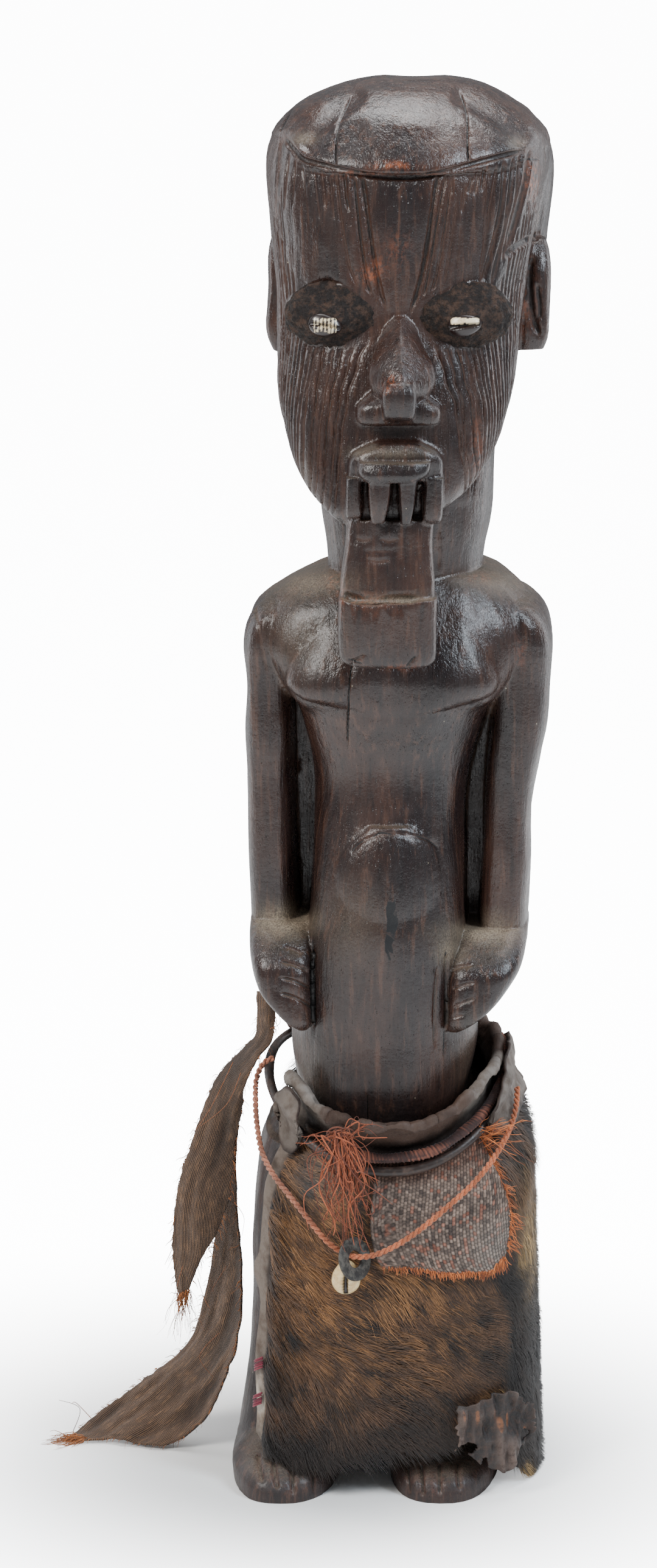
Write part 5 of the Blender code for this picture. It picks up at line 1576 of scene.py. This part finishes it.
def strip_piece(name, rows, bulge, pleat, seed, finish):
    """A strip of cloth through rows of two edge points, with pleats and ragged edges."""
    dense = smooth_line(rows, 12)
    dense = even_line(dense, 400)
    columns, levels = 38, 190
    u, t = net(columns, levels)
    down = t * (1 - 0.03 * (0.5 + 0.5 * ripple(u, 0.09, seed + 1)) * t)
    rag = np.stack((t / 0.012, t * 0, t * 0 + seed), -1)
    left_in = 0.025 * (1 + grain(rag, 1.0, 2)) + 0.02 * (1 + grain(rag, 3.0, 3))
    right_in = 0.025 * (1 + grain(rag, 1.0, 4)) + 0.02 * (1 + grain(rag, 3.0, 5))
    share = left_in + u * (1 - left_in - right_in)
    spot = down * (len(dense) - 1)
    low = np.clip(np.floor(spot).astype(int), 0, len(dense) - 2)
    level = mix(dense[low], dense[low + 1], (spot - low)[..., None])
    grid = mix(level[..., :3], level[..., 3:], share[..., None])
    grid[..., 1] -= bulge * np.sin(np.pi * share)
    grid = grid[::-1]
    t = t[::-1]
    wide = np.linalg.norm(level[..., :3] - level[..., 3:], axis=-1)[::-1]
    length = np.linalg.norm(np.diff(dense[:, :3] + dense[:, 3:], axis=0) / 2, axis=1).sum()
    fold_at = np.stack((share[::-1] * np.maximum(wide, 18) / 7.5, t * length / 46 + 0 * share,
                        share * 0 + seed), -1)
    fold = grain(fold_at, 1.0, 6) + 0.45 * grain(fold_at * np.array((2.3, 1.6, 1)), 1.0, 7)
    normals = grid_normals(grid)
    small = 0.35 * grain(grid, 4.0, 8)
    amount = pleat(t) * np.ones_like(fold)
    grid = grid + normals * (fold * amount + small)[..., None]
    grid[..., 2] = np.maximum(grid[..., 2], FLOOR + 1.4 + 0.3 * (0.5 + 0.5 * fold))
    uv = np.stack((share[::-1] * np.maximum(wide, 10), t * length + 0 * share), -1)
    # Painted shade in the hollows of the pleats, kept as fold.
    dark = soft(-fold / 0.8) * 0.8
    piece = cloth(name, grid, 1.1, finish, {"fold": dark}, uv=uv)
    return piece, grid


def loose_edges(name, grid, count, seed, material, sag):
    """Frayed threads along both edges and the lower end of a strip."""
    rng = np.random.default_rng(seed)
    levels, columns = grid.shape[:2]
    left = grid[rng.integers(0, int(levels * 0.93), count), 0]
    right = grid[rng.integers(0, int(levels * 0.93), count), -1]
    end = grid[0, rng.integers(0, columns, count)]
    down = unit(grid[0].mean(axis=0) - grid[12].mean(axis=0))
    side = unit(grid[:, 0] - grid[:, -1]).mean(axis=0)
    starts = np.concatenate((left, right, end)) + rng.normal(0, 0.2, (3 * count, 3))
    ways = np.concatenate((side + down * 0.9 + rng.normal(0, 0.4, (count, 3)),
                           -side * 0.8 + down * 0.9 + rng.normal(0, 0.4, (count, 3)),
                           down + rng.normal(0, 0.30, (count, 3))))
    size = np.concatenate((1.5 + 4.5 * rng.uniform(0, 1, 2 * count) ** 3,
                           4 + 15 * rng.uniform(0, 1, count) ** 2))
    wide = rng.choice((0.22, 0.32, 0.5), 3 * count)
    tone = orange(rng, 3 * count, (84, 58, 42), (190, 118, 66))
    return fringe(name, starts, unit(ways), size, wide, tone, material, sag, rng, 7, 0.16)


class FIGURE_OT_raffia(bpy.types.Operator):
    """Hangs the two raffia strips at the figure's right side"""
    bl_idname = "figure.raffia"
    bl_label = "Hang the raffia strips"

    def execute(self, context):
        cloth_finish = woven_finish("raffia_cloth", 1.25, 1.1, linear(128, 98, 74), linear(52, 40, 34),
                                    linear(160, 122, 90))
        loose = fibre_finish("raffia_thread", 0.85, 0.1)
        short, grid = strip_piece("short", SHORT_STRIP, 2.6, lambda t: 0.5 + 1.4 * soft(t / 0.4), 3,
                                  cloth_finish)
        take_on(short, "raffia_short", ["raffia_strip_short"])
        edging = loose_edges("edging", grid, 120, 6, loose, 0.5)
        take_on(edging, "raffia_short_threads", [])
        long, grid = strip_piece("long", LONG_STRIP, 0.8, lambda t: 0.8 + 1.6 * soft((t - 0.3) / 0.4), 9,
                                 cloth_finish)
        take_on(long, "raffia_long", ["raffia_strip_long"])
        edging = loose_edges("edging", grid, 150, 7, loose, 0.4)
        take_on(edging, "raffia_long_threads", [])
        rng = np.random.default_rng(12)
        wires, widths = [], []
        for px, py, to_x, to_y, depth in LOOSE_WIRES:
            bend = ((px + to_x) / 2 + rng.normal(0, 14), (py + to_y) / 2 + rng.normal(0, 10))
            flat = smooth_line([(px, py), bend, (to_x, to_y)], 8)
            wires.append(np.array([seen(a, b, depth - 8) for a, b in flat]))
            widths.append(np.linspace(0.5, 0.25, len(flat)))
        wires = np.array(wires)
        wires[..., 2] = np.maximum(wires[..., 2], FLOOR + 0.5)
        piece = fibres("wires", wires, np.array(widths), loose,
                       orange(rng, len(wires), (70, 46, 36), (150, 92, 58)), 0.8)
        take_on(piece, "raffia_loose_fibres", [])
        return {"FINISHED"}


# Cord, disc, shell, dried skin and threads

CORD_ROUTE = [(-57, -10, 216), (-62, -11, 213.5), (-65.5, -15, 207), (-66, -23, 197), (-65, -34, 188),
              (-62.5, -46, 179), (-57, -57, 171.5), (-49, -66, 164), (-40, -71.5, 154), (-31, -74, 143.5),
              (-23.5, -75.5, 138), (-17, -78, 136.5), (-9, -79.5, 137.5), (0, -78, 140.5), (10, -76, 146),
              (20, -73.5, 153), (30, -70.5, 161), (39, -66.5, 168), (47, -60, 175), (54, -51, 182),
              (59.5, -40, 189), (63, -29, 196.5), (64, -19, 203.5)]


class FIGURE_OT_cord(bpy.types.Operator):
    """Hangs the twisted cord with its disc and shell"""
    bl_idname = "figure.cord"
    bl_label = "Hang the cord"

    def execute(self, context):
        sizes, colours = context.scene.figure_sizes, context.scene.figure_colours
        thick = sizes.cord_diameter / STEP
        route = smooth_line(CORD_ROUTE, 12)
        length = float(np.linalg.norm(np.diff(route, axis=0), axis=1).sum())
        line = even_line(route, int(length / 0.55))
        way = unit(np.gradient(line, axis=0))
        side = unit(np.cross(way, np.array((0, 0, 1.0))))
        rise = np.cross(side, way)
        f = Finish("cord_yarn")
        shade = f.stored("shade", False)
        hair = f.noise(f.place(), 1500, 3, 0.6)
        tone = f.blend(f.times(f.span(hair, 0.42, 0.72), 0.5), shade, linear(140, 92, 66), "MULTIPLY")
        f.bump(hair, 0.5, 0.0003)
        yarn = f.done(tone, 0.85, Sheen_Weight=0.15)
        strands = []
        for k in range(2):
            place = np.linspace(0, length, len(line))
            turn = 2 * np.pi * place / 6.4 + np.pi * k + 0.25 * np.sin(place / 11)
            core = line + 0.24 * thick * (np.cos(turn)[:, None] * side + np.sin(turn)[:, None] * rise)

            def shape(s, a):
                return 0.55 * (1 + 0.05 * np.sin(2 * np.pi * s / 1.9 + 2 * a)
                               + 0.04 * np.sin(s * 3.3 + 3 * a + k))

            def tint(s, a, b):
                half = soft((s / length - 0.40) / 0.18)[..., None] + 0 * b[..., None]
                base = mix(paint(176, 116, 92), np.array(colours.cord), half)
                # Painted shade: each strand is lighter where it bulges and darker between its twists.
                spot = 0.5 + 0.5 * np.sin(2 * np.pi * s / 1.9 + 2 * a)
                return base * (0.72 + 0.4 * spot)[..., None] * (0.9 + 0.2 * np.sin(s / 4.1 + k))[..., None]

            strands.append(ring_tube("strand", core, thick / 2, 12, yarn, shape, tint, False))
        only(strands[0])
        strands[1].select_set(True)
        bpy.ops.object.join()
        cord = strands[0]
        take_on(cord, "twisted_cord", ["pendant_cord"])
        disc = self.disc()
        ivory = shell_finish("pendant_shell", linear(236, 212, 160), linear(214, 178, 120))
        shell = cowrie_piece("shell", 0.0176, 0.0140, 0.0080, ivory, 0.15)
        turn_and_place(shell, (0, 0.06, 0.0), (-21, -73.0, 124))
        take_on(shell, "hanging_shell", ["pendant_cowrie"])
        return {"FINISHED"}

    def disc(self):
        """A pierced disc: a short cylinder, its faces inset and bridged, its edges eased."""
        f = Finish("old_metal", 0.5, 0.55)
        blotch = f.noise(f.place(), 320, 5, 0.65)
        colour = f.blend(f.span(blotch, 0.4, 0.62), linear(58, 56, 55), linear(96, 92, 86))
        colour = f.blend(f.span(f.noise(f.place(), 900, 3), 0.58, 0.72), colour, linear(58, 56, 52))
        f.bump(blotch, 0.4, 0.0004)
        metal = f.done(colour, f.span(blotch, 0.3, 0.7, 0.4, 0.7))
        bpy.ops.object.select_all(action="DESELECT")
        bpy.ops.mesh.primitive_cylinder_add(vertices=72, radius=0.01075, depth=0.0012)
        disc = bpy.context.active_object
        bpy.context.tool_settings.mesh_select_mode = (False, False, True)
        disc.data.polygons.foreach_set("select", [len(face.vertices) > 4 for face in disc.data.polygons])
        bpy.ops.object.mode_set(mode="EDIT")
        bpy.ops.mesh.inset(thickness=0.0065, use_individual=True)
        bpy.ops.mesh.bridge_edge_loops()
        bpy.ops.mesh.select_all(action="SELECT")
        bpy.ops.mesh.normals_make_consistent(inside=False)
        bpy.ops.object.mode_set(mode="OBJECT")
        apply_modifier(disc, "BEVEL", width=0.00028, segments=2, limit_method="ANGLE", angle_limit=0.8)
        only(disc)
        bpy.ops.object.shade_smooth_by_angle(angle=0.6)
        disc.data.materials.append(metal)
        facing = Vector((0.7, -0.64, 0.3)).normalized()
        turn_and_place(disc, facing.to_track_quat("Z", "Y").to_euler(), (-17, -78, 135.2))
        take_on(disc, "pierced_disc", ["pendant_disc"])
        return disc


class FIGURE_OT_skin(bpy.types.Operator):
    """Adds the dried skin over the left foot and the threads sewn over the hide's edge"""
    bl_idname = "figure.skin"
    bl_label = "Hang the dried skin"

    def execute(self, context):
        across, up = 116, 66
        u, v = net(across, up)
        low = along([(0, 34), (0.5, 20), (1, 30)], u) + 2.2 * ripple(u, 0.06, 2)
        high = along([(0, 57), (0.6, 60), (1, 50)], u) + 1.5 * ripple(u, 0.06, 4)
        height = mix(low + 0 * v, high, v)
        angle = mix(16, 54, u) + 1.2 * ripple(v, 0.07, 6) + 0 * u
        spot = np.stack((angle / 7, height / 20, u * 0 + v * 0), -1)
        crumple = 3.0 * grain(spot, 1.0, 11) + 1.9 * grain(spot * 2.3, 1.0, 12)
        ridge = 1.4 * (1 - 2 * np.abs(grain(spot * 1.7, 1.0, 13)))
        ridge = ridge + 0.6 * (1 - 2 * np.abs(grain(spot * 4, 1.0, 14)))
        grid = on_hide(angle, height, HIDE + 8.2 + crumple + ridge)
        keep = (grain(spot * np.array((0.9, 2.0, 1)), 1.0, 21) < 0.52)[:-1, :-1]
        # Painted shade: the skin is darker in its hollows and lighter on its ridges.
        tone = mix(paint(30, 25, 24), paint(90, 74, 66), soft((ridge + crumple) / 4)[..., None])
        orange_bits = soft((grain(spot * 2.6, 1.0, 31) - 0.35) / 0.2)[..., None]
        tone = mix(tone, paint(150, 92, 52), orange_bits * 0.5)
        f = Finish("dry_skin")
        blotch = f.noise(f.place(), 330, 5, 0.65)
        colour = f.blend(f.span(blotch, 0.42, 0.68), f.stored("shade", False), linear(64, 50, 44))
        f.bump(blotch, 0.8, 0.0009)
        f.bump(f.noise(f.place(), 1100, 3), 0.5, 0.0004)
        leather = f.done(colour, f.span(blotch, 0.3, 0.7, 0.5, 0.75))
        skin = cloth("skin", grid, 1.0, leather, {"shade": tone}, keep)
        take_on(skin, "dried_skin_piece", ["dried_skin"])
        rng = np.random.default_rng(4)
        for name, height in (("upper", 67), ("lower", 48)):
            lines = []
            for k in range(7):
                share = np.linspace(0, 1, 14)
                angle = HIDE_START + mix(0.6, 7.4, share)
                line = on_hide(angle, height + 4 * share + 0.8 * (k - 3) + rng.normal(0, 0.3),
                               HIDE + 1.2 + 1.6 * np.sin(np.pi * share) + 0.5 * rng.uniform(0, 1))
                lines.append(line)
            tone = mix(paint(82, 24, 40), paint(134, 48, 66), rng.uniform(0, 1, (7, 1)))
            thread = fibres("thread", np.array(lines), np.full((7, 14), 1.0),
                            fibre_finish("sewing_thread", 0.8, 0.2), tone, 0.9, 6, (0, 0, 1))
            take_on(thread, "sewn_thread_" + name, ["hide_tie_" + name])
        return {"FINISHED"}


class FIGURE_OT_studio(bpy.types.Operator):
    """Sets the camera, the pale floor and the lights"""
    bl_idname = "figure.studio"
    bl_label = "Set the studio"

    def execute(self, context):
        eye = camera_axes()[0]
        lens = bpy.data.cameras.new("camera")
        lens.sensor_width, lens.lens = 36.0, 36.0 * FOCAL / PICTURE[1]
        lens.clip_start = 0.05
        camera = bpy.data.objects.new("camera", lens)
        bpy.context.collection.objects.link(camera)
        camera.location = world(eye)
        camera.rotation_euler = (math.pi / 2 - TILT, 0, 0)
        context.scene.camera = camera
        bpy.ops.object.select_all(action="DESELECT")
        bpy.ops.mesh.primitive_plane_add(size=80)
        floor = bpy.context.active_object
        floor.name = "floor"
        floor.data.materials.append(self.floor_finish())
        sky = bpy.data.worlds.new("studio")
        sky.use_nodes = True
        back = sky.node_tree.nodes["Background"]
        back.inputs["Color"].default_value = (0.93, 0.96, 1, 1)
        back.inputs["Strength"].default_value = 0.30
        context.scene.world = sky
        for name, place, size, power, tint in (
                ("left box", (-1.25, -1.15, 1.75), (0.55, 0.9), 46, (1.0, 0.98, 0.95)),
                ("right box", (1.25, -0.85, 1.55), (0.3, 1.0), 34, (0.80, 0.90, 1.0)),
                ("top box", (0.15, 0.35, 2.0), (1.1, 0.8), 32, (1.0, 1.0, 1.0)),
                ("left edge", (-1.1, 0.75, 0.7), (0.5, 1.4), 7, (0.95, 0.97, 1.0)),
                ("right edge", (1.1, 0.75, 0.7), (0.5, 1.4), 8, (0.95, 0.97, 1.0))):
            lamp = bpy.data.lights.new(name, "AREA")
            lamp.shape, lamp.size, lamp.size_y, lamp.energy, lamp.color = "RECTANGLE", *size, power, tint
            light = bpy.data.objects.new(name, lamp)
            bpy.context.collection.objects.link(light)
            light.location = place
            light.rotation_euler = (Vector((0, 0, 0.38)) - Vector(place)).to_track_quat("-Z", "Y").to_euler()
        return {"FINISHED"}

    def floor_finish(self):
        """White paper that glows for the camera, less so close round the feet: a painted shadow there, which
        also lets its own soft shadow show.
        """
        f = Finish("floor", 0.8)
        length = f.nodes.new("ShaderNodeVectorMath")
        length.operation = "LENGTH"
        stretched = f.place((1.0, 1.25, 1))
        f.links.new(stretched, length.inputs[0])
        # Painted shadow: the glow fades close round the feet.
        far = f.span(length.outputs["Value"], 0.07, 0.42)
        path = f.nodes.new("ShaderNodeLightPath")
        glow = f.times(f.times(far, 13.0), path.outputs["Is Camera Ray"])
        f.links.new(glow, f.shader.inputs["Emission Strength"])
        f.shader.inputs["Emission Color"].default_value = (0.98, 0.99, 1, 1)
        return f.done(f.blend(f.noise(f.place(), 2.0), linear(238, 238, 237), linear(243, 243, 242)), 0.8)


class FIGURE_PT_panel(bpy.types.Panel):
    """Sidebar with the sizes, the colours and the steps"""
    bl_idname = "FIGURE_PT_panel"
    bl_label = "Wooden Figure"
    bl_space_type = "VIEW_3D"
    bl_region_type = "UI"
    bl_category = "Figure"

    def draw(self, context):
        for group in (context.scene.figure_sizes, context.scene.figure_colours):
            for key in group.__annotations__:
                self.layout.prop(group, key)
        for kind in OPERATORS:
            self.layout.operator(kind.bl_idname)


OPERATORS = (FIGURE_OT_studio, FIGURE_OT_cord, FIGURE_OT_carve, FIGURE_OT_eyes, FIGURE_OT_hide, FIGURE_OT_fur,
             FIGURE_OT_waist, FIGURE_OT_mat, FIGURE_OT_raffia, FIGURE_OT_skin)
CLASSES = (FigureSizes, FigureColours, *OPERATORS, FIGURE_PT_panel)


def register():
    """Makes the add-on's classes and settings known."""
    for kind in CLASSES:
        bpy.utils.register_class(kind)
    bpy.types.Scene.figure_sizes = bpy.props.PointerProperty(type=FigureSizes)
    bpy.types.Scene.figure_colours = bpy.props.PointerProperty(type=FigureColours)


def unregister():
    """Forgets them again."""
    del bpy.types.Scene.figure_colours
    del bpy.types.Scene.figure_sizes
    for kind in reversed(CLASSES):
        bpy.utils.unregister_class(kind)


def main():
    """Builds everything in order."""
    register()
    bpy.ops.object.select_all(action="DESELECT")
    for kind in OPERATORS:
        getattr(bpy.ops.figure, kind.bl_idname.split(".")[1])()


if __name__ == "__main__":
    main()
